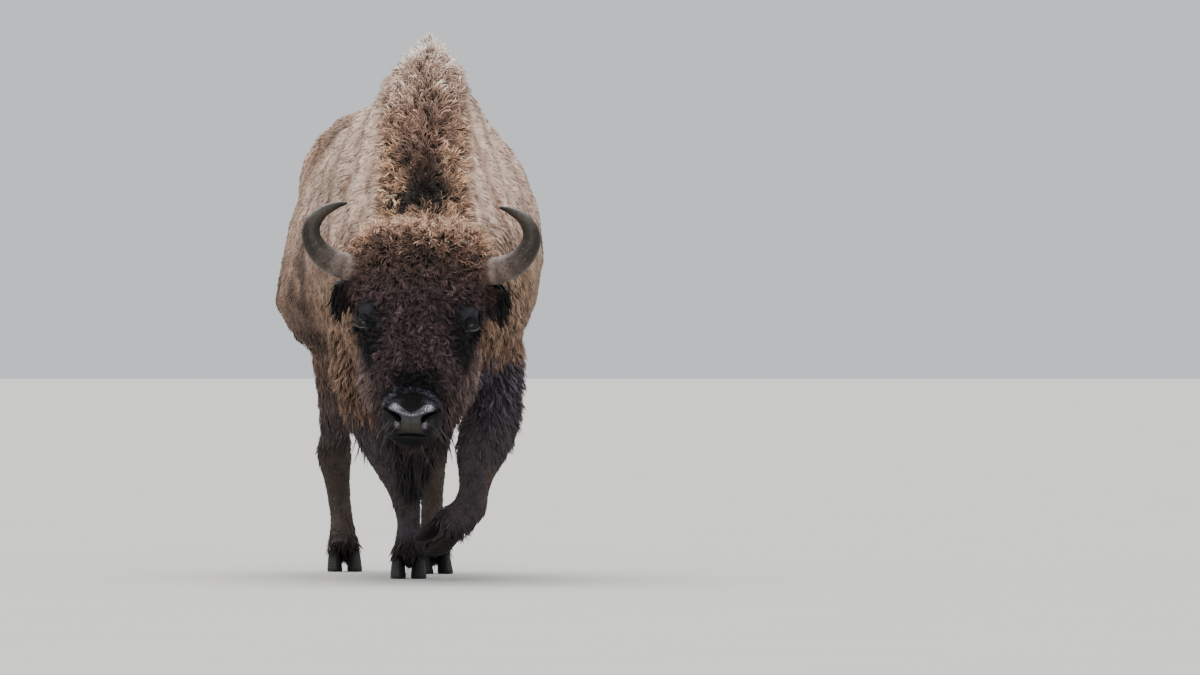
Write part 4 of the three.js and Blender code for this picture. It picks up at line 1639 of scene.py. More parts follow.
    def set_lids(self, points: np.ndarray) -> np.ndarray:
        """Opens the skin over each eye and lays lids and folds round it.

        Args:
            points: The skin's points.

        Returns:
            The moved points.
        """
        out = points.copy()
        for eye in self.eyes():
            local = eye.local(out)
            ring = eye.opening(local)
            flatness = np.hypot(local[:, 0], local[:, 1])
            facing = (local[:, 2] > -0.02) & (flatness < 0.075)
            ball = np.sqrt(np.maximum(eye.radius ** 2 - flatness ** 2, 0.0))
            lid = np.sqrt(np.maximum((eye.radius + 0.0035) ** 2 - flatness ** 2, 0.0))
            height = local[:, 2].copy()
            near = smooth(2.5, 1.35, ring)
            height = height * (1 - near) + np.maximum(lid, 0.004) * near
            rise = local[:, 1] / eye.half_height
            for lift, middle, half, none, full in self.folds:
                height += lift * bump(ring, middle, half) * smooth(none, full, rise)
            tear = np.abs(local[:, 1] + 0.35 * (local[:, 0] - 0.020))
            height -= 0.004 * smooth(0.004, 0.0, tear) * bump(local[:, 0], 0.034, 0.018)
            inside = smooth(1.06, 0.90, ring)
            height = height * (1 - inside) + (ball - 0.007) * inside
            local[:, 2] = np.where(facing, height, local[:, 2])
            out = np.where(facing[:, None], eye.points(local), out)
        return out

    def bareness(self, points: np.ndarray) -> np.ndarray:
        """How bare the skin is: 1 on the nose pad, the lips' rims and the lids.

        Args:
            points: An (n, 3) array.

        Returns:
            Weights from 0 to 1.
        """
        x, u, v = self.anatomy.head(points).T
        front = smooth(-0.13, -0.09, v)
        bare = np.maximum(Muzzle.pad(x, u), smooth(1.15, 0.9, Muzzle.slit(x, u))) * front
        lips = smooth(0.009, 0.005, np.abs(u - Muzzle.mouth(v))) * smooth(0.075, 0.055, np.abs(x))
        bare = np.maximum(bare, lips * front * smooth(0.66, 0.68, u))
        ragged = self.anatomy.eye_patch(x, u) + 0.15 * self.markings.fine(points * 1.5)
        patch = smooth(1.10, 0.80, ragged) * smooth(-0.15, -0.11, v)
        streak = smooth(0.3, 0.7, self.anatomy.eye_streak(x, u))
        bare = np.maximum(bare, 0.62 * np.maximum(patch, streak))
        for eye in self.eyes():
            local = eye.local(points)
            bare = np.maximum(bare, smooth(1.75, 1.35, eye.opening(local)) * (local[:, 2] > -0.01))
        return bare

    def tint(self, points: np.ndarray, colours: np.ndarray) -> None:
        """Adds the colours of the bare places, with painted shade in the nose's hollow, the nostrils and
        the line of the lips, and painted highlights on the wet nose.

        Args:
            points: The skin's points.
            colours: Their colours, changed in place.
        """
        x, u, v = self.anatomy.head(points).T
        front = smooth(-0.13, -0.09, v)
        # Painted shade: the hollow under the ridge of the nose is painted near black.
        mix(colours, srgb(8, 8, 10), Muzzle.hollow(x, u) * front)
        grey = smooth(0.685, 0.650, u)
        mix(colours, srgb(36, 36, 29), Muzzle.wedge(x, u) * front)
        mix(colours, srgb(58, 57, 58), Muzzle.wedge(x, u) * front * grey * 0.8)
        wing = Muzzle.wings(x, u) * front
        fleck = 0.42 + 1.0 * self.markings.fine(points * 5) + 1.1 * self.markings.fine(points * 11)
        fleck = np.clip(fleck, 0.0, 1.0)
        mix(colours, srgb(66, 63, 72), wing * (0.4 + 0.6 * fleck))
        # Painted highlights on the wet upper band of the nose and along its lower edge.
        highlight = bump(np.abs(x), 0.052, 0.030) * smooth(0.636, 0.622, u)
        mix(colours, srgb(172, 164, 178), wing * highlight * (0.05 + 0.95 * fleck))
        edge = bump(u - np.interp(np.abs(x), (0.0, 0.036, 0.06), (0.645, 0.636, 0.622)), 0.0, 0.006)
        mix(colours, srgb(136, 130, 142), wing * edge * fleck)
        slit = Muzzle.slit(x, u)
        # Painted highlight on the wet lobes under the nostrils.
        mix(colours, srgb(134, 127, 138), Muzzle.lobes(x, u) * front * (0.2 + 0.8 * fleck))
        flank = bump(np.abs(x), 0.062, 0.016) * bump(u, 0.662, 0.020) * front
        mix(colours, srgb(66, 60, 66), flank * fleck)
        # Painted shade: the nostrils are painted near black inside.
        mix(colours, srgb(5, 4, 5), smooth(1.10, 0.75, slit) * front)
        # Painted shade in the crease between the lips.
        line = smooth(0.005, 0.0015, np.abs(u - Muzzle.mouth(v))) * front * smooth(0.66, 0.68, u)
        line *= smooth(0.060, 0.035, np.abs(x))
        mix(colours, srgb(8, 7, 7), line)
        near = smooth(-0.16, -0.11, v)
        mix(colours, srgb(22, 21, 24), self.anatomy.eye_shade(x, u) * near)
        patch = smooth(1.15, 0.55, self.anatomy.eye_patch(x, u)) * near
        sheen = np.clip(0.65 + 0.5 * self.markings.fine(points), 0.0, 1.0)
        mix(colours, srgb(43, 44, 53), patch * sheen)
        mix(colours, srgb(48, 50, 59), self.anatomy.eye_streak(x, u) * near * sheen)
        for eye in self.eyes():
            local = eye.local(points)
            ring = eye.opening(local)
            out = (local[:, 2] > -0.01).astype(float)
            under = smooth(0.0, -0.8, local[:, 1] / eye.half_height)
            mix(colours, srgb(50, 50, 58), bump(ring, 2.45, 0.30) * out * under)
            mix(colours, srgb(14, 12, 14), smooth(1.5, 1.1, ring) * out)
            corner = bump(local[:, 0], 1.22 * eye.half_length, 0.006) * bump(local[:, 1], -0.004, 0.006)
            mix(colours, srgb(128, 120, 112), corner * out * 0.8)


# ---------------------------------------------------------------- coat


@dataclass
class Roots:
    """Where tufts stand on the skin and how the coat grows there."""

    points: np.ndarray
    normals: np.ndarray
    weights: np.ndarray

    def part(self, chosen: np.ndarray) -> Roots:
        """The roots for which chosen is true."""
        return Roots(self.points[chosen], self.normals[chosen], self.weights[chosen])


class Chart(Enum):
    """Ways of unrolling the skin for the map that colours are stored on."""

    HEAD = "head"
    BODY = "body"
    LEGS = "legs"
    TAIL = "tail"


@dataclass(frozen=True)
class Fleece:
    """One piece of the coat.

    Attributes:
        name: The piece's name.
        regions: The regions it holds.
        chart: How its map is unrolled.
        slot: The record's material slot.
        finish: Its material.
        side: 1 or -1 for one side of the body alone, 0 for both.
    """

    name: str
    regions: tuple[Region, ...]
    chart: Chart
    slot: str
    finish: HairFinish
    side: int = 0


def fleece_pair(name: str, regions: tuple[Region, ...], chart: Chart, slot: str,
                finish: HairFinish) -> tuple[Fleece, ...]:
    """The pieces of one kind of coat on either side of the body.

    Args:
        name: What both pieces are called before the side's name.
        regions: The regions they hold.
        chart: How their maps are unrolled.
        slot: The record's material slot.
        finish: Their material.

    Returns:
        The left piece and the right one.
    """
    return tuple(Fleece(f"{name}_{hand}", regions, chart, slot, finish, int(side))
                 for hand, side in SIDES.items())


WOOL = HairFinish("wool", roughness=0.72, specular=0.10, sheen=0.10)
GUARD = HairFinish("guard_hair", roughness=0.58, specular=0.18)
DARK = HairFinish("dark_hair", roughness=0.46, specular=0.22)
LIMB = (Region.UPPER_LEG, Region.LOWER_LEG, Region.FETLOCK)

FLEECES = (
    Fleece("coat_crown", (Region.CROWN,), Chart.HEAD, "coat_brown", WOOL),
    Fleece("coat_forehead", (Region.FOREHEAD,), Chart.HEAD, "coat_brown", WOOL),
    Fleece("coat_face", (Region.FACE, Region.MUZZLE), Chart.HEAD, "coat_dark", DARK),
    Fleece("coat_cheeks", (Region.CHEEK,), Chart.HEAD, "coat_brown", GUARD),
    Fleece("coat_beard", (Region.BEARD,), Chart.HEAD, "coat_dark", DARK),
    Fleece("coat_ears", (Region.EAR,), Chart.HEAD, "coat_dark", DARK),
    *fleece_pair("coat_mane", (Region.MANE,), Chart.BODY, "coat_pale", WOOL),
    *fleece_pair("coat_ruff", (Region.RUFF,), Chart.BODY, "coat_brown", GUARD),
    *fleece_pair("coat_shoulder", (Region.SHOULDER,), Chart.BODY, "coat_pale", GUARD),
    *fleece_pair("coat_flank", (Region.BODY,), Chart.BODY, "coat_brown", GUARD),
    Fleece("coat_belly", (Region.BELLY,), Chart.BODY, "coat_brown", GUARD),
    *fleece_pair("coat_legs", LIMB, Chart.LEGS, "coat_dark", DARK),
    Fleece("coat_tail", (Region.TAIL, Region.SWITCH), Chart.TAIL, "coat_brown", GUARD),
)


@dataclass
class Coat:
    """All the tufts of the coat, in one mesh for each fleece.

    Attributes:
        anatomy: The animal's frames.
        skin: The skin they stand on.
        markings: The coat's colours.
        patch: Size of a tuft's patch on the colour map.
        lock_size: How many tufts lean together into one lock.
        sunk: How deep the roots stand in the skin.
        keel: How high a tuft's back is, as a share of half its width.
        seed: Fixes the tufts' places.
    """

    anatomy: Anatomy
    skin: Skin
    markings: Markings
    patch: float = 0.003
    lock_size: int = 5
    sunk: float = 0.002
    keel: float = 0.62
    seed: int = 5
    sway: Ripple = field(default_factory=lambda: Ripple(21, 0.075))
    clump: Ripple = field(default_factory=lambda: Ripple(22, 0.030))
    swell: Ripple = field(default_factory=lambda: Ripple(23, 0.055))

    def build(self) -> None:
        """Makes every fleece."""
        roots = self.roots()
        main = np.argmax(roots.weights, 1)
        order = list(Region)
        sides = self.sides(roots)
        for number, fleece in enumerate(FLEECES):
            chosen = np.isin(main, [order.index(region) for region in fleece.regions])
            if fleece.side:
                chosen &= (sides == fleece.side)
            self.grow(fleece, roots.part(chosen), np.random.default_rng(self.seed + 17 * number))

    def sides(self, roots: Roots) -> np.ndarray:
        """1 for each root on the animal's left side and -1 on its right."""
        body = self.anatomy.body(roots.points)
        across = body[:, 0] - self.skin.regions.nape(body[:, 1])
        legs = Solids({hand: (f"foreleg_{hand}", f"hindleg_{hand}") for hand in SIDES})
        hand, away = legs.nearest(roots.points)
        on_leg = (away < 0.03) & (body[:, 2] < 0.75)
        return np.where(on_leg, np.where(hand == 0, 1, -1), np.where(across > 0, 1, -1))

    def roots(self) -> Roots:
        """Draws the tufts' places, even over the skin but as dense as each region asks."""
        mesh = self.skin.obj.data
        mesh.calc_loop_triangles()
        corners = np.empty(len(mesh.loop_triangles) * 3, np.int32)
        mesh.loop_triangles.foreach_get("vertices", corners)
        corners = corners.reshape(-1, 3)
        points = points_of(mesh)
        normals = normals_of(mesh)
        a, b, c = (points[corners[:, k]] for k in range(3))
        area = 0.5 * np.linalg.norm(np.cross(b - a, c - a), axis=1)
        density = blended(self.skin.table, "density") * (1 - smooth(0.15, 0.6, self.skin.bare))
        wanted = area * density[corners].mean(1)
        rng = np.random.default_rng(self.seed)
        number = np.floor(wanted + rng.uniform(size=len(wanted))).astype(int)
        which = np.repeat(np.arange(len(wanted)), number)
        share = rng.uniform(size=(len(which), 2))
        share = np.where(share.sum(1, keepdims=True) > 1, 1 - share, share)
        share = np.column_stack([1 - share.sum(1), share])[:, :, None]
        tri = corners[which]
        return Roots(
            (points[tri] * share).sum(1),
            unit((normals[tri] * share).sum(1)),
            (self.skin.table[tri] * share).sum(1),
        )

    def lie(self, roots: Roots) -> np.ndarray:
        """The direction in which the coat lies at each root.

        Args:
            roots: The roots.

        Returns:
            Unit directions in the skin.
        """
        body = self.anatomy.body(roots.points)
        x, u, _ = self.anatomy.head(roots.points).T
        sign = np.tanh(body[:, 0] / 0.06)
        part = np.tanh(x / 0.05)
        nape = np.tanh((body[:, 0] - self.skin.regions.nape(body[:, 1])) / 0.06)
        on_head = {
            Region.CROWN: (part * 0.7 + x * 2, smooth(-0.05, 0.12, u) * 1.4 - 0.3, 0.5),
            Region.FOREHEAD: (part * 0.45, 1.0, 0.0),
            Region.FACE: (part * 0.35, 1.0, 0.0),
            Region.MUZZLE: (part * 0.9, np.where(u < 0.63, -0.6, 0.8), -0.4),
            Region.CHEEK: (part * 0.4, 1.0, -0.25),
            Region.EAR: (part * 0.15, 1.0, 0.0),
        }
        on_body = {
            Region.BEARD: (0.15 * part, 0.10, -1.0),
            Region.MANE: (0.70 * nape, 0.10, 0.55 - 0.45 * np.abs(nape)),
            Region.RUFF: (0.10 * sign, 0.25, -1.0),
            Region.SHOULDER: (0.10 * sign, 0.50, -0.85),
            Region.BODY: (0.10 * sign, 0.85, -0.60),
            Region.BELLY: (0.0, 0.55, -0.80),
            Region.UPPER_LEG: (0.0, 0.25, -1.0),
            Region.LOWER_LEG: (0.0, 0.15, -1.0),
            Region.FETLOCK: (0.0, 0.10, -1.0),
            Region.TAIL: (0.0, 0.0, -1.0),
            Region.SWITCH: (0.0, 0.0, -1.0),
        }
        total = np.zeros_like(body)
        for number, region in enumerate(Region):
            way = np.zeros_like(body)
            if region in on_head:
                way[:, 0], down, out = on_head[region]
                way[:, 1], way[:, 2] = -out, -down
                way = way @ self.anatomy.axes().T
            else:
                way[:, 0], way[:, 1], way[:, 2] = on_body[region]
            total += roots.weights[:, number][:, None] * unit(way)
        return flat(total, roots.normals)

    def grow(self, fleece: Fleece, roots: Roots, rng: np.random.Generator) -> None:
        """Makes one fleece from its roots.

        Args:
            fleece: The fleece.
            roots: Its roots.
            rng: Its own random numbers.
        """
        rings = np.round(blended(roots.weights, "rings")).astype(int)
        parts = [self.blades(roots.part(rings == count), int(count), rng) for count in np.unique(rings)]
        starts = np.cumsum([0] + [len(part[0]) for part in parts[:-1]])
        faces = np.concatenate([part[1] + start for part, start in zip(parts, starts)])
        verts, _, colours, origins, shifts = (np.concatenate(rows) for rows in zip(*parts))
        obj = arrays_to_object(fleece.name, verts, faces)
        paint(obj.data, COAT_COLOUR, colours)
        chart = self.chart(origins, fleece.chart)
        low, high = chart.min(0), chart.max(0)
        spots = 0.01 + 0.98 * (chart - low) / (high - low) + shifts * self.patch
        set_map(obj.data, spots)
        finish_piece(obj, fleece.finish.build(), fleece.slot)

    def chart(self, points: np.ndarray, kind: Chart) -> np.ndarray:
        """Places of points on the unrolled skin.

        Args:
            points: An (n, 3) array.
            kind: Which way of unrolling.

        Returns:
            An (n, 2) array.
        """
        if kind is Chart.HEAD:
            x, u, v = self.anatomy.head(points).T
            return np.stack([np.arctan2(x, v + 0.17), u], 1)
        body = self.anatomy.body(points)
        if kind is Chart.BODY:
            return np.stack([np.arctan2(body[:, 0], 1.05 - body[:, 2]), body[:, 1]], 1)
        if kind is Chart.LEGS:
            rear = body[:, 1] > 0.1
            middle = np.where(rear, np.median(body[rear, 1]), np.median(body[~rear, 1]))
            turn = np.arctan2(np.abs(body[:, 0]) - 0.15, body[:, 1] - middle)
            return np.stack([turn + rear * 7.0, body[:, 2]], 1)
        return np.stack([np.arctan2(body[:, 0] + 0.05, body[:, 1] - 1.28), body[:, 2]], 1)

    def blades(self, roots: Roots, rings: int, rng: np.random.Generator) -> tuple[np.ndarray, ...]:
        """Three-sided tapering tufts that bend and curl.

        Args:
            roots: Their roots.
            rings: How many rings of corners each has below its tip.
            rng: Random numbers.

        Returns:
            Corners, faces, colours, root places and map shifts, corner by corner.
        """
        count = len(roots.points)
        numbers = {name: blended(roots.weights, name) for name in
                   ("length", "width", "root_lift", "tip_lift", "scatter", "curl", "waves", "lock")}
        normal = roots.normals
        lie = self.lie(roots)
        side = np.cross(normal, lie)
        sway, clump, swell = self.sway(roots.points), self.clump(roots.points), self.swell(roots.points)
        lock, draw = self.locks(roots)
        shared = rng.normal(size=(lock.max(initial=0) + 1, 6))[lock]
        own = rng.normal(size=(count, 7))
        turn = 0.6 * sway + 0.3 * clump + 0.80 * shared[:, 0] + 0.22 * own[:, 0]
        turn = np.radians(numbers["scatter"]) * turn
        heading = np.cos(turn)[:, None] * lie + np.sin(turn)[:, None] * side
        side = np.cross(normal, heading)
        draw = draw * numbers["lock"][:, None]
        size = 1 + 0.20 * swell + 0.12 * shared[:, 1] + 0.14 * own[:, 1]
        crest = smooth(1.60, 1.70, self.anatomy.body(roots.points)[:, 2])
        length = numbers["length"] * np.clip(size, 0.45, 1.5) * (1 - 0.42 * crest)
        width = numbers["width"] * np.clip(1 + 0.25 * own[:, 2], 0.5, 1.6)
        lift = numbers["root_lift"] * np.clip(1 + 0.25 * swell + 0.2 * own[:, 3], 0.2, 1.6)
        drop = numbers["tip_lift"] * np.clip(1 + 0.25 * shared[:, 2] + 0.2 * own[:, 4], 0.0, 1.8)
        bend = np.radians(numbers["scatter"]) * (1.1 * shared[:, 3] + 0.3 * own[:, 5])
        phase = 3.0 * shared[:, 4] + 0.4 * own[:, 6]
        spin = np.where(shared[:, 5] > 0, 1.0, -1.0)
        here = roots.points - normal * self.sunk
        spine = []
        for ring in range(rings + 1):
            along = ring / rings
            rise = np.radians(lift + (drop - lift) * along)
            swing = bend * along
            step = (np.cos(rise) * np.cos(swing))[:, None] * heading
            step += (np.cos(rise) * np.sin(swing))[:, None] * side + np.sin(rise)[:, None] * normal
            angle = phase + FULL_TURN * numbers["waves"] * along
            reach = numbers["curl"] * min(1.0, along * 1.6)
            coil = (reach * np.cos(angle))[:, None] * side
            coil += (reach * np.sin(angle) * spin)[:, None] * normal
            spine.append(here + coil + draw * (1 - (1 - along) ** 2.2))
            here = here + step * (length / rings)[:, None]
        corners = []
        shades = []
        shifts = []
        tone = self.tones(roots, lock, rng)
        for ring in range(rings):
            along = ring / rings
            half = 0.5 * width * (0.75 + 0.25 * math.sin(math.pi * along)) * (1 - 0.55 * along)
            for across, up in ((-1.0, 0.0), (1.0, 0.0), (0.0, self.keel)):
                corner = spine[ring] + side * (across * half)[:, None] + normal * (up * half)[:, None]
                corners.append(corner)
                shades.append(tone(along, up))
                shifts.append(np.tile([0.4 * across, along - 0.5], (count, 1)))
        corners.append(spine[rings])
        shades.append(tone(1.0, 0.0))
        shifts.append(np.tile([0.0, 0.5], (count, 1)))
        size = 3 * rings + 1
        last = 3 * (rings - 1)
        tip = [(last + k, last + (k + 1) % 3, size - 1) for k in range(3)]
        pattern = np.vstack([[(0, 2, 1)], tube_faces(rings, 3), tip])
        faces = (np.arange(count)[:, None, None] * size + pattern[None]).reshape(-1, 3)

        def woven(rows: list[np.ndarray]) -> np.ndarray:
            """Rows of corners put tuft by tuft."""
            return np.stack(rows, 1).reshape(count * size, -1)

        return woven(corners), faces, woven(shades), np.repeat(roots.points, size, 0), woven(shifts)

    def locks(self, roots: Roots) -> tuple[np.ndarray, np.ndarray]:
        """The locks that neighbouring tufts draw together into.

        Args:
            roots: The tufts' roots.

        Returns:
            The number of each tuft's lock, and the step from its root to the lock's middle.
        """
        heads = roots.points[::self.lock_size]
        tree = KDTree(len(heads))
        for number, head in enumerate(heads):
            tree.insert(head, number)
        tree.balance()
        nearest = np.array([tree.find(point)[1] for point in roots.points], int)
        return nearest, heads[nearest] - roots.points

    def tones(self, roots: Roots, lock: np.ndarray,
              rng: np.random.Generator) -> Callable[[float, float], np.ndarray]:
        """How the colour runs along each tuft: dark at the root as painted shade, lighter along its back
        as painted light, and paler towards the tip, partly as painted highlight.

        Args:
            roots: The tufts' roots.
            lock: The number of each tuft's lock.
            rng: Random numbers.

        Returns:
            A function from the place along the tuft and its height to colours.
        """
        base = self.markings.colour(roots.points, roots.weights)
        wool = np.clip((blended(roots.weights, "curl") - 0.002) / 0.006, 0.0, 1.0)[:, None]
        moods = rng.normal(size=(lock.max(initial=0) + 1, 1))
        shade = (0.14 + 0.40 * wool) * np.clip(moods, -1.8, 1.0)[lock]
        shade += (0.18 + 0.12 * wool) * rng.normal(size=(len(base), 1))
        shade += (0.12 + 0.14 * wool) * self.clump(roots.points)[:, None]
        base = base * np.exp(shade - 0.05 - 0.05 * wool)
        gold = np.clip(rng.normal(size=len(base)) * 0.5 - 0.1, 0.0, 1.0)[:, None]
        straw = srgb(150, 122, 104) * (0.3 + base.mean(1, keepdims=True) * 4)
        warm = base * (1 - 0.30 * gold) + 0.30 * gold * straw
        pale = np.minimum(warm, base * 1.8) * (1.12 + 0.95 * wool)
        speck = (rng.uniform(size=len(base)) < 0.018) & (base.mean(1) > 0.12)
        pale[speck] *= 0.12

        def tone(along: float, up: float) -> np.ndarray:
            """The colour of one corner of every tuft."""
            ease = along * along * (3 - 2 * along)
            # Painted shade at each tuft's root, lighter on its back corner as painted light; the tips are
            # paler, most on the wool, partly as painted highlight.
            root_shade = base * (0.68 - 0.60 * wool) * (1.0 + 0.3 * (up > 0))
            return root_shade * (1 - ease) + pale * ease

        return tone


# ---------------------------------------------------------------- horns


@dataclass
class Horns:
    """Both horns: out from the temples, up and in again, with ridged bases.

    Attributes:
        anatomy: The animal's frames.
        path: Middle line and radius in head places, from the root to the tip.
        root: Where the horn starts inside the head, on the same line.
        sides: Corners round the horn.
        rings: Rings along it.
        ridge: Height of the growth rings against the radius.
    """

    anatomy: Anatomy
    path: tuple[tuple[float, float, float, float], ...] = (
        (0.186, 0.149, -0.096, 0.0420),
        (0.226, 0.146, -0.088, 0.0425),
        (0.268, 0.138, -0.074, 0.0400),
        (0.309, 0.114, -0.056, 0.0355),
        (0.336, 0.073, -0.042, 0.0300),
        (0.335, 0.031, -0.036, 0.0250),
        (0.309, -0.009, -0.038, 0.0190),
        (0.271, -0.034, -0.046, 0.0125),
        (0.236, -0.047, -0.055, 0.0040),
    )
    root: tuple[float, float, float, float] = (0.120, 0.154, -0.104, 0.0380)
    sides: int = 48
    rings: int = 120
    ridge: float = 0.026

    def line(self) -> np.ndarray:
        """The middle line and radius, smoothly filled in, (rings, 4)."""
        rows = np.array([self.root, *self.path])
        rows = np.vstack([2 * rows[0] - rows[1], rows, 2 * rows[-1] - rows[-2]])
        steps = np.linspace(0, len(rows) - 3 - 1e-6, self.rings)
        out = []
        for step in steps:
            first = int(step)
            t = step - first
            a, b, c, d = rows[first:first + 4]
            slope_b, slope_c = (c - a) / 2, (d - b) / 2
            out.append((2 * t ** 3 - 3 * t ** 2 + 1) * b + (t ** 3 - 2 * t ** 2 + t) * slope_b
                       + (3 * t ** 2 - 2 * t ** 3) * c + (t ** 3 - t ** 2) * slope_c)
        return np.array(out)

    def build(self) -> None:
        """Makes both horns."""
        finish = HornFinish().build()
        for name, side in SIDES.items():
            line = self.line() * np.array([side, 1, 1, 1])
            middle = self.anatomy.from_head(line[:, :3])
            ahead = unit(np.gradient(middle, axis=0))
            frame_up = self.anatomy.head_vector(0.0, 0.0, 1.0)
            first = unit(frame_up - ahead * (ahead @ frame_up)[:, None])
            second = np.cross(ahead, first)
            far = np.cumsum(np.linalg.norm(np.gradient(middle, axis=0), axis=1))
            along = (far - far[0]) / (far[-1] - far[0])
            fade = smooth(0.62, 0.30, along)
            waves = 0.5 + 0.5 * np.sin(FULL_TURN * 11 * along ** 0.9 + 1.2 * np.sin(9 * along))
            radius = line[:, 3] * (1 + self.ridge * fade * (waves - 0.8))
            turn = np.linspace(0, FULL_TURN, self.sides, endpoint=False)
            rough = 1 + 0.012 * np.sin(3 * turn[None] + 7 * along[:, None]) * fade[:, None]
            ring = circle(turn, first, second)
            verts = middle[:, None] + ring * (radius[:, None] * rough)[:, :, None]
            verts = np.vstack([verts.reshape(-1, 3), middle[:1], middle[-1:] + ahead[-1:] * 0.003])
            obj = arrays_to_object(f"horn_sheath_{name}", verts, self.faces())
            tone = np.repeat(along, self.sides)
            groove = np.repeat(waves, self.sides)
            colours = np.tile(srgb(33, 25, 17), (len(tone), 1))
            mix(colours, srgb(116, 100, 94), smooth(0.56, 0.20, tone) * (0.55 + 0.45 * groove))
            mix(colours, srgb(60, 54, 48), bump(tone, 0.82, 0.18) * 0.6)
            mix(colours, srgb(18, 16, 16), smooth(0.90, 0.98, tone))
            mark = np.sin(37 * np.tile(turn, self.rings) / np.pi + 23 * tone) * np.sin(61 * tone)
            mark = np.clip(mark - 0.75, 0.0, 0.25) * 2.0
            mix(colours, srgb(92, 84, 78), mark * smooth(0.85, 0.5, tone))
            colours = np.vstack([colours, colours[:1], colours[-1:]])
            paint(obj.data, COAT_COLOUR, colours)
            finish_piece(obj, finish, "horn")
            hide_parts(f"horn_{name}")

    def faces(self) -> np.ndarray:
        """The horn's faces as triangles, with a cap at either end."""
        root = self.rings * self.sides
        last = root - self.sides
        caps = []
        for k in range(self.sides):
            beside = (k + 1) % self.sides
            caps += [(root, beside, k), (root + 1, last + k, last + beside)]
        return np.vstack([tube_faces(self.rings, self.sides), caps])


# ---------------------------------------------------------------- eyes


@dataclass
class Eyes:
    """Both eyeballs, with their irises and long pupils, and the rims of their lids.

    Attributes:
        anatomy: The animal's frames.
        iris: Half-angle of the iris seen from the ball's middle, degrees.
        bulge: How far the clear front stands out over the iris.
        rim: Radius of the lids' rims.
    """

    anatomy: Anatomy
    iris: float = 38.0
    bulge: float = 0.0016
    rim: float = 0.0030

    def build(self) -> None:
        """Makes both eyes."""
        ball_finish = EyeFinish().build()
        rim_finish = SkinFinish("lid_skin").build()
        for name, side in SIDES.items():
            eye = EyePlace(self.anatomy, side)
            ball = self.ball(f"eyeball_{name}", eye)
            finish_piece(ball, ball_finish, "eye")
            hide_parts(f"eye_{name}")
            lids = self.lids(f"lids_{name}", eye)
            finish_piece(lids, rim_finish, "nose")

    def ball(self, name: str, eye: EyePlace) -> bpy.types.Object:
        """An eyeball round its own axis of sight.

        Args:
            name: The piece's name.
            eye: Where it sits.

        Returns:
            The eyeball.
        """
        rings, sides = 48, 64
        polar = np.linspace(0, np.pi, rings + 1)[1:-1]
        turn = np.linspace(0, FULL_TURN, sides, endpoint=False)
        p, t = (grid.ravel() for grid in np.meshgrid(polar, turn, indexing="ij"))
        p = np.concatenate([p, [0.0, np.pi]])
        t = np.concatenate([t, [0.0, 0.0]])
        degrees = np.degrees(p)
        radius = eye.radius - 0.0004 + self.bulge * smooth(self.iris + 6, 0, degrees)
        local = np.stack([np.sin(p) * np.cos(t), np.sin(p) * np.sin(t), np.cos(p)], 1) * radius[:, None]
        verts = eye.points(local)
        top, bottom, last = len(p) - 2, len(p) - 1, (rings - 2) * sides
        caps = []
        for k in range(sides):
            beside = (k + 1) % sides
            caps += [(top, k, beside), (bottom, last + beside, last + k)]
        faces = np.vstack([tube_faces(rings - 1, sides)[:, ::-1], caps])
        if np.linalg.det(eye.axes()) < 0:
            faces = faces[:, ::-1]
        obj = arrays_to_object(name, verts, faces)
        across = np.degrees(np.arctan2(np.abs(local[:, 0]), local[:, 2]))
        upright = np.degrees(np.arctan2(np.abs(local[:, 1]), local[:, 2]))
        colours = np.tile(srgb(96, 82, 78), (len(p), 1))
        mix(colours, srgb(34, 27, 26), smooth(66, 50, degrees))
        mix(colours, srgb(10, 8, 8), smooth(self.iris + 8, self.iris + 1, degrees))
        streak = 0.5 + 0.5 * np.sin(t * 46) * np.sin(t * 17 + 1)
        brown = srgb(22, 15, 12) * (0.7 + 0.5 * streak[:, None])
        mix(colours, brown, smooth(self.iris, self.iris - 5, degrees))
        pupil = np.hypot(across / 23.0, upright / 11.5)
        mix(colours, srgb(4, 4, 5), smooth(1.15, 0.9, pupil) * (local[:, 2] > 0))
        paint(obj.data, COAT_COLOUR, colours)
        return obj

    def lids(self, name: str, eye: EyePlace) -> bpy.types.Object:
        """The thick dark rims of both lids as one almond ring.

        Args:
            name: The piece's name.
            eye: The eye they close.

        Returns:
            The rims.
        """
        steps, sides = 72, 14
        turn = np.linspace(0, FULL_TURN, steps, endpoint=False)
        along = eye.half_length * np.cos(turn) * 1.03
        up = eye.reach(np.sin(turn)) * np.sin(turn) * 1.02
        middle = eye.on_ball(along, up, eye.radius + 0.0012)
        ahead = unit(np.roll(middle, -1, 0) - np.roll(middle, 1, 0))
        out = unit(middle)
        out = unit(out - ahead * (out * ahead).sum(1, keepdims=True))
        across = np.cross(ahead, out)
        around = np.linspace(0, FULL_TURN, sides, endpoint=False)
        thick = self.rim * (1 + 0.25 * np.maximum(np.sin(turn), 0))
        ring = circle(around, out, across * 1.3)
        local = (middle[:, None] + ring * thick[:, None, None]).reshape(-1, 3)
        faces = tube_faces(steps, sides, closed=True)
        obj = arrays_to_object(name, eye.points(local), faces)
        outwards(obj)
        colours = np.tile(srgb(20, 18, 20), (len(local), 1))
        lower = np.repeat(smooth(-0.1, -0.5, np.sin(turn)), sides)
        wet = np.tile(bump(np.cos(around), 1.0, 0.07), steps)
        mix(colours, srgb(140, 134, 126), lower * wet * 0.65)
        paint(obj.data, COAT_COLOUR, colours)
        paint(obj.data, BARE_SHARE, np.ones_like(colours))
        return obj


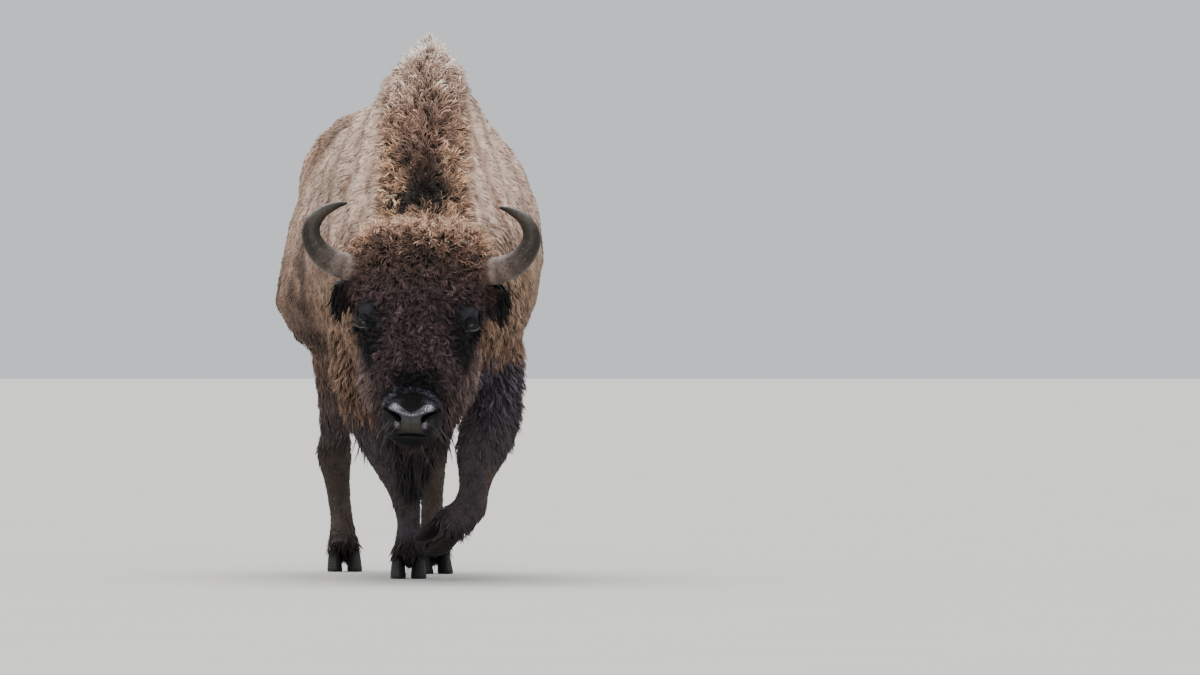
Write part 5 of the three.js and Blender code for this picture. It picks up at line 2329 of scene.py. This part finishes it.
@dataclass
class Bristles:
    """Single stiff hairs, such as whiskers and lashes, set out by Geometry Nodes.

    Attributes:
        name: The piece's name.
        material: Its finish.
        thickness: Radius at the root of a hair of the usual length.
        bend: How far its tip leans aside, as a share of its length.
        usual: That length. Longer hairs are thicker in the same measure.
        seed: Fixes how the hairs are turned about themselves.
    """

    name: str
    material: bpy.types.Material
    thickness: float = 0.0008
    bend: float = 0.25
    usual: float = 0.06
    seed: int = 3

    def tree(self) -> bpy.types.NodeTree:
        """The node tree: a tapered bent strand on each point, along the point's own way."""
        tree = bpy.data.node_groups.new(f"{self.name}_tree", "GeometryNodeTree")
        sockets = (("Points", "INPUT", "NodeSocketGeometry"), ("Thickness", "INPUT", "NodeSocketFloat"),
                   ("Bend", "INPUT", "NodeSocketFloat"), ("Seed", "INPUT", "NodeSocketInt"),
                   ("Finish", "INPUT", "NodeSocketMaterial"), ("Hairs", "OUTPUT", "NodeSocketGeometry"))
        for title, way, kind in sockets:
            tree.interface.new_socket(title, in_out=way, socket_type=kind)

        node = partial(add_node, tree)
        attribute = partial(node, "GeometryNodeInputNamedAttribute")
        nodes = {
            "start": node("NodeGroupInput"),
            "end": node("NodeGroupOutput"),
            "middle": node("ShaderNodeCombineXYZ"),
            "tip": node("ShaderNodeCombineXYZ"),
            "strand": node("GeometryNodeCurveQuadraticBezier"),
            "taper": node("ShaderNodeMapRange"),
            "far": node("GeometryNodeSplineParameter"),
            "ring": node("GeometryNodeCurvePrimitiveCircle", mode="RADIUS"),
            "length": attribute(data_type="FLOAT"),
            "slim": node("ShaderNodeMath", operation="DIVIDE"),
            "width": node("ShaderNodeMath", operation="MULTIPLY"),
            "tube": node("GeometryNodeCurveToMesh"),
            "way": attribute(data_type="FLOAT_VECTOR"),
            "point": node("FunctionNodeAlignRotationToVector", axis="Z"),
            "about": node("FunctionNodeRandomValue", data_type="FLOAT"),
            "twist": node("ShaderNodeCombineXYZ"),
            "turn": node("FunctionNodeRotateRotation", rotation_space="LOCAL"),
            "place": node("GeometryNodeInstanceOnPoints"),
            "real": node("GeometryNodeRealizeInstances"),
            "dress": node("GeometryNodeSetMaterial"),
        }
        fill(nodes["middle"], {"Z": 0.55})
        fill(nodes["tip"], {"Z": 1.0})
        fill(nodes["strand"], {"Resolution": 7, "Start": (0.0, 0.0, 0.0)})
        fill(nodes["taper"], {"To Min": 1.0, "To Max": 0.12})
        fill(nodes["ring"], {"Resolution": 4, "Radius": 1.0})
        fill(nodes["length"], {"Name": "Length"})
        nodes["slim"].inputs[1].default_value = self.usual
        fill(nodes["tube"], {"Fill Caps": True})
        fill(nodes["way"], {"Name": "Way"})
        fill(nodes["about"], {"Max": FULL_TURN})
        for source, out, target, into in (
                ("start", "Bend", "tip", "X"),
                ("middle", "Vector", "strand", "Middle"),
                ("tip", "Vector", "strand", "End"),
                ("far", "Factor", "taper", "Value"),
                ("start", "Thickness", "slim", 0),
                ("taper", "Result", "width", 0),
                ("slim", "Value", "width", 1),
                ("strand", "Curve", "tube", "Curve"),
                ("ring", "Curve", "tube", "Profile Curve"),
                ("width", "Value", "tube", "Scale"),
                ("way", "Attribute", "point", "Vector"),
                ("start", "Seed", "about", "Seed"),
                ("about", 1, "twist", "Z"),
                ("point", "Rotation", "turn", "Rotation"),
                ("twist", "Vector", "turn", "Rotate By"),
                ("start", "Points", "place", "Points"),
                ("tube", "Mesh", "place", "Instance"),
                ("turn", "Rotation", "place", "Rotation"),
                ("length", "Attribute", "place", "Scale"),
                ("place", "Instances", "real", "Geometry"),
                ("real", "Geometry", "dress", "Geometry"),
                ("start", "Finish", "dress", "Material"),
                ("dress", "Geometry", "end", "Hairs")):
            tree.links.new(nodes[source].outputs[out], nodes[target].inputs[into])
        return tree

    def build(self, roots: np.ndarray, ways: np.ndarray, lengths: np.ndarray,
              colours: np.ndarray, slot: str) -> None:
        """Makes the hairs.

        Args:
            roots: Where they stand, (n, 3).
            ways: Which way they point, (n, 3).
            lengths: How long they are.
            colours: Their linear colours, (n, 3).
            slot: The record's material slot.
        """
        mesh = bpy.data.meshes.new(self.name)
        mesh.from_pydata(roots.tolist(), [], [])
        mesh.attributes.new("Way", "FLOAT_VECTOR", "POINT").data.foreach_set("vector", ways.ravel())
        mesh.attributes.new("Length", "FLOAT", "POINT").data.foreach_set("value", lengths)
        row = np.linspace(0.02, 0.98, len(roots))
        spots = np.stack([row, np.full(len(roots), 0.5), np.zeros(len(roots))], 1)
        mesh.attributes.new("Spot", "FLOAT_VECTOR", "POINT").data.foreach_set("vector", spots.ravel())
        paint(mesh, COAT_COLOUR, colours)
        obj = shown(self.name, mesh)
        tree = self.tree()
        modifier = obj.modifiers.new("hairs", "NODES")
        modifier.node_group = tree
        values = {"Thickness": self.thickness, "Bend": self.bend,
                  "Seed": self.seed, "Finish": self.material}
        for item in tree.interface.items_tree:
            if item.name in values:
                modifier[item.identifier] = values[item.name]
        made = settle(obj, modifier)
        spots = np.empty(len(made.vertices) * 3, np.float32)
        made.attributes["Spot"].data.foreach_get("vector", spots)
        set_map(made, spots.reshape(-1, 3)[:, :2])
        finish_piece(obj, self.material, slot)


@dataclass
class Whiskers:
    """The long hairs round lips and chin and the lashes over the eyes.

    Attributes:
        anatomy: The animal's frames.
        skin: The skin they stand on.
        count: How many hairs stand round the muzzle.
        lashes: How many lashes stand on each upper lid.
        seed: Fixes their places.
    """

    anatomy: Anatomy
    skin: Skin
    count: int = 64
    lashes: int = 36
    seed: int = 8

    def build(self) -> None:
        """Makes whiskers and lashes."""
        rng = np.random.default_rng(self.seed)
        self.muzzle(rng)
        self.lids(rng)

    def muzzle(self, rng: np.random.Generator) -> None:
        """The whiskers: dark and pale hairs that hang from lips and chin."""
        mesh = self.skin.obj.data
        points, normals = points_of(mesh), normals_of(mesh)
        x, u, v = self.anatomy.head(points).T
        fit = (u > 0.655) & (u < 0.76) & (v > -0.16)
        fit &= (np.abs(x) > 0.02) & (self.skin.bare < 0.2)
        chosen = rng.choice(np.nonzero(fit)[0], self.count, replace=False)
        side = np.tanh(x[chosen] / 0.03)
        back = -0.15 - 0.2 * rng.uniform(size=self.count)
        down = np.stack([0.30 * side, back, -np.ones(self.count)], 1)
        ways = unit(0.55 * normals[chosen] + down + 0.16 * rng.normal(size=(self.count, 3)))
        lengths = rng.uniform(0.045, 0.115, self.count)
        pale = rng.uniform(size=(self.count, 1)) < 0.25
        colours = np.where(pale, srgb(84, 80, 80), srgb(28, 24, 24))
        finish = HairFinish("whisker", roughness=0.45, specular=0.25).build()
        hairs = Bristles("whiskers", finish, thickness=0.0005, bend=0.30)
        hairs.build(points[chosen] - 0.002 * normals[chosen], ways, lengths, colours, "coat_dark")

    def lids(self, rng: np.random.Generator) -> None:
        """The lashes: short black hairs that droop over the upper lids."""
        roots, ways = [], []
        for side in SIDES.values():
            eye = EyePlace(self.anatomy, side)
            turn = np.linspace(0.25, 0.80 * np.pi, self.lashes) + 0.03 * rng.normal(size=self.lashes)
            along = eye.half_length * 1.06 * np.cos(turn)
            up = eye.half_height * 1.12 * np.sin(turn)
            local = eye.on_ball(along, up, eye.radius + 0.0035)
            aim = np.stack([0.5 * np.cos(turn), 0.25 + 0 * turn, 0.9 + 0 * turn], 1)
            roots.append(eye.points(local))
            ways.append(unit(aim + 0.10 * rng.normal(size=(self.lashes, 3))) @ eye.axes())
        count = 2 * self.lashes
        lengths = rng.uniform(0.014, 0.022, count)
        colours = np.tile(srgb(12, 11, 11), (count, 1))
        finish = HairFinish("lash", roughness=0.5, specular=0.15).build()
        hairs = Bristles("lashes", finish, thickness=0.0008, bend=-0.25, seed=4)
        hairs.build(np.concatenate(roots), np.concatenate(ways), lengths, colours, "coat_dark")


def outwards(obj: bpy.types.Object) -> None:
    """Turns a closed piece's faces to look outwards."""
    with edited(obj.data) as shape:
        bmesh.ops.recalc_face_normals(shape, faces=shape.faces)


# ---------------------------------------------------------------- hooves


@dataclass
class Hooves:
    """Hooves and dew claws: the solids' shapes, rounded off, with growth rings.

    Attributes:
        voxel: Size of their faces.
    """

    voxel: float = 0.0028

    def build(self) -> None:
        """Makes one piece for each foot."""
        finish = HoofFinish().build()
        for leg in FLESH["leg"]:
            nodes = nodes_starting(f"hoof_{leg}_", f"dewclaw_{leg}_")
            obj = merged_copy(f"feet_{leg}", nodes, 0.0)
            floor = points_of(obj.data)[:, 2].min()
            remeshed(obj, self.voxel)
            relax(obj.data, 5)
            points = points_of(obj.data)
            points[:, 2] = np.maximum(points[:, 2], floor)
            put_points(obj.data, points)
            finish_piece(obj, finish, "hoof")
            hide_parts(*nodes)


# ---------------------------------------------------------------- studio


@dataclass
class Studio:
    """A pale floor, a soft sky of light and the camera.

    Attributes:
        anatomy: The animal's frames.
        azimuth: The side the camera stands on, degrees from straight ahead.
        distance: Its distance from the animal's hump.
        height: Its height above the floor.
        lens: Its focal length in millimetres.
        aim_right: How far it looks past the hump, as a share of the picture's width.
        aim_up: How far it looks above its own height, likewise.
    """

    anatomy: Anatomy
    azimuth: float = -6.0
    distance: float = 36.0
    height: float = 0.65
    lens: float = 344.0
    aim_right: float = 0.1416667
    aim_up: float = 0.02775

    def build(self) -> None:
        """Makes floor, light and camera."""
        self.floor()
        self.light()
        self.camera()

    def floor(self) -> None:
        """A wide floor that ends beyond the horizon of any view."""
        half = 900.0
        corners = ((-half, -half, 0.0), (half, -half, 0.0), (half, half, 0.0), (-half, half, 0.0))
        floor = arrays_to_object("floor", np.array(corners), np.array([[0, 1, 2, 3]]))
        floor.data.materials.append(FloorFinish().build())
        floor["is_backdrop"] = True

    def light(self) -> None:
        """An even sky and one broad, soft sun from above and behind."""
        world = bpy.data.worlds.new("studio")
        bpy.context.scene.world = world
        world.use_nodes = True
        sky = world.node_tree.nodes["Background"]
        fill(sky, {"Color": (0.93, 0.95, 1.0, 1.0), "Strength": 0.80})
        for name, strength, angle, tilt, turn in (("sun_top", 5.7, 60.0, 28.0, 184.0),
                                                  ("sun_front", 2.2, 50.0, 58.0, -4.0)):
            data = bpy.data.lights.new(name, "SUN")
            data.energy = strength
            data.angle = math.radians(angle)
            data.color = (1.0, 0.97, 0.93)
            lamp = shown(name, data)
            lamp.rotation_euler = (math.radians(tilt), 0.0, math.radians(turn))

    def camera(self) -> None:
        """The camera at the animal's own eye height, far off."""
        data = bpy.data.cameras.new("camera")
        data.lens = self.lens
        data.sensor_width = 36.0
        data.clip_start = 1.0
        data.clip_end = 4000.0
        turn = math.radians(self.azimuth)
        hump = self.anatomy.from_body(0.0, -0.230, self.height)
        back = Vector((math.sin(turn), -math.cos(turn), 0.0))
        right = Vector((math.cos(turn), math.sin(turn), 0.0))
        shot = data.sensor_width / data.lens
        aim = -back + right * (self.aim_right * shot) + Vector((0, 0, 1)) * (self.aim_up * shot)
        camera = shown("camera", data)
        camera.location = Vector(hump) + back * self.distance
        camera.rotation_euler = aim.to_track_quat("-Z", "Y").to_euler()
        bpy.context.scene.camera = camera


def main() -> None:
    """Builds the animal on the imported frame."""
    logging.basicConfig(level=logging.INFO, format="%(message)s")
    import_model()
    solid_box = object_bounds()
    anatomy = Anatomy()
    Studio(anatomy).build()
    regions = Map(anatomy)
    markings = Markings(anatomy, regions)
    skin = Skin(anatomy, regions, markings)
    skin.build()
    Coat(anatomy, skin, markings).build()
    Horns(anatomy).build()
    Eyes(anatomy).build()
    Whiskers(anatomy, skin).build()
    Hooves().build()
    boxes = {"solids": solid_box, "looks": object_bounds()}
    sizes = {name: [[float(number) for number in corner] for corner in box] for name, box in boxes.items()}


if __name__ == "__main__":
    main()
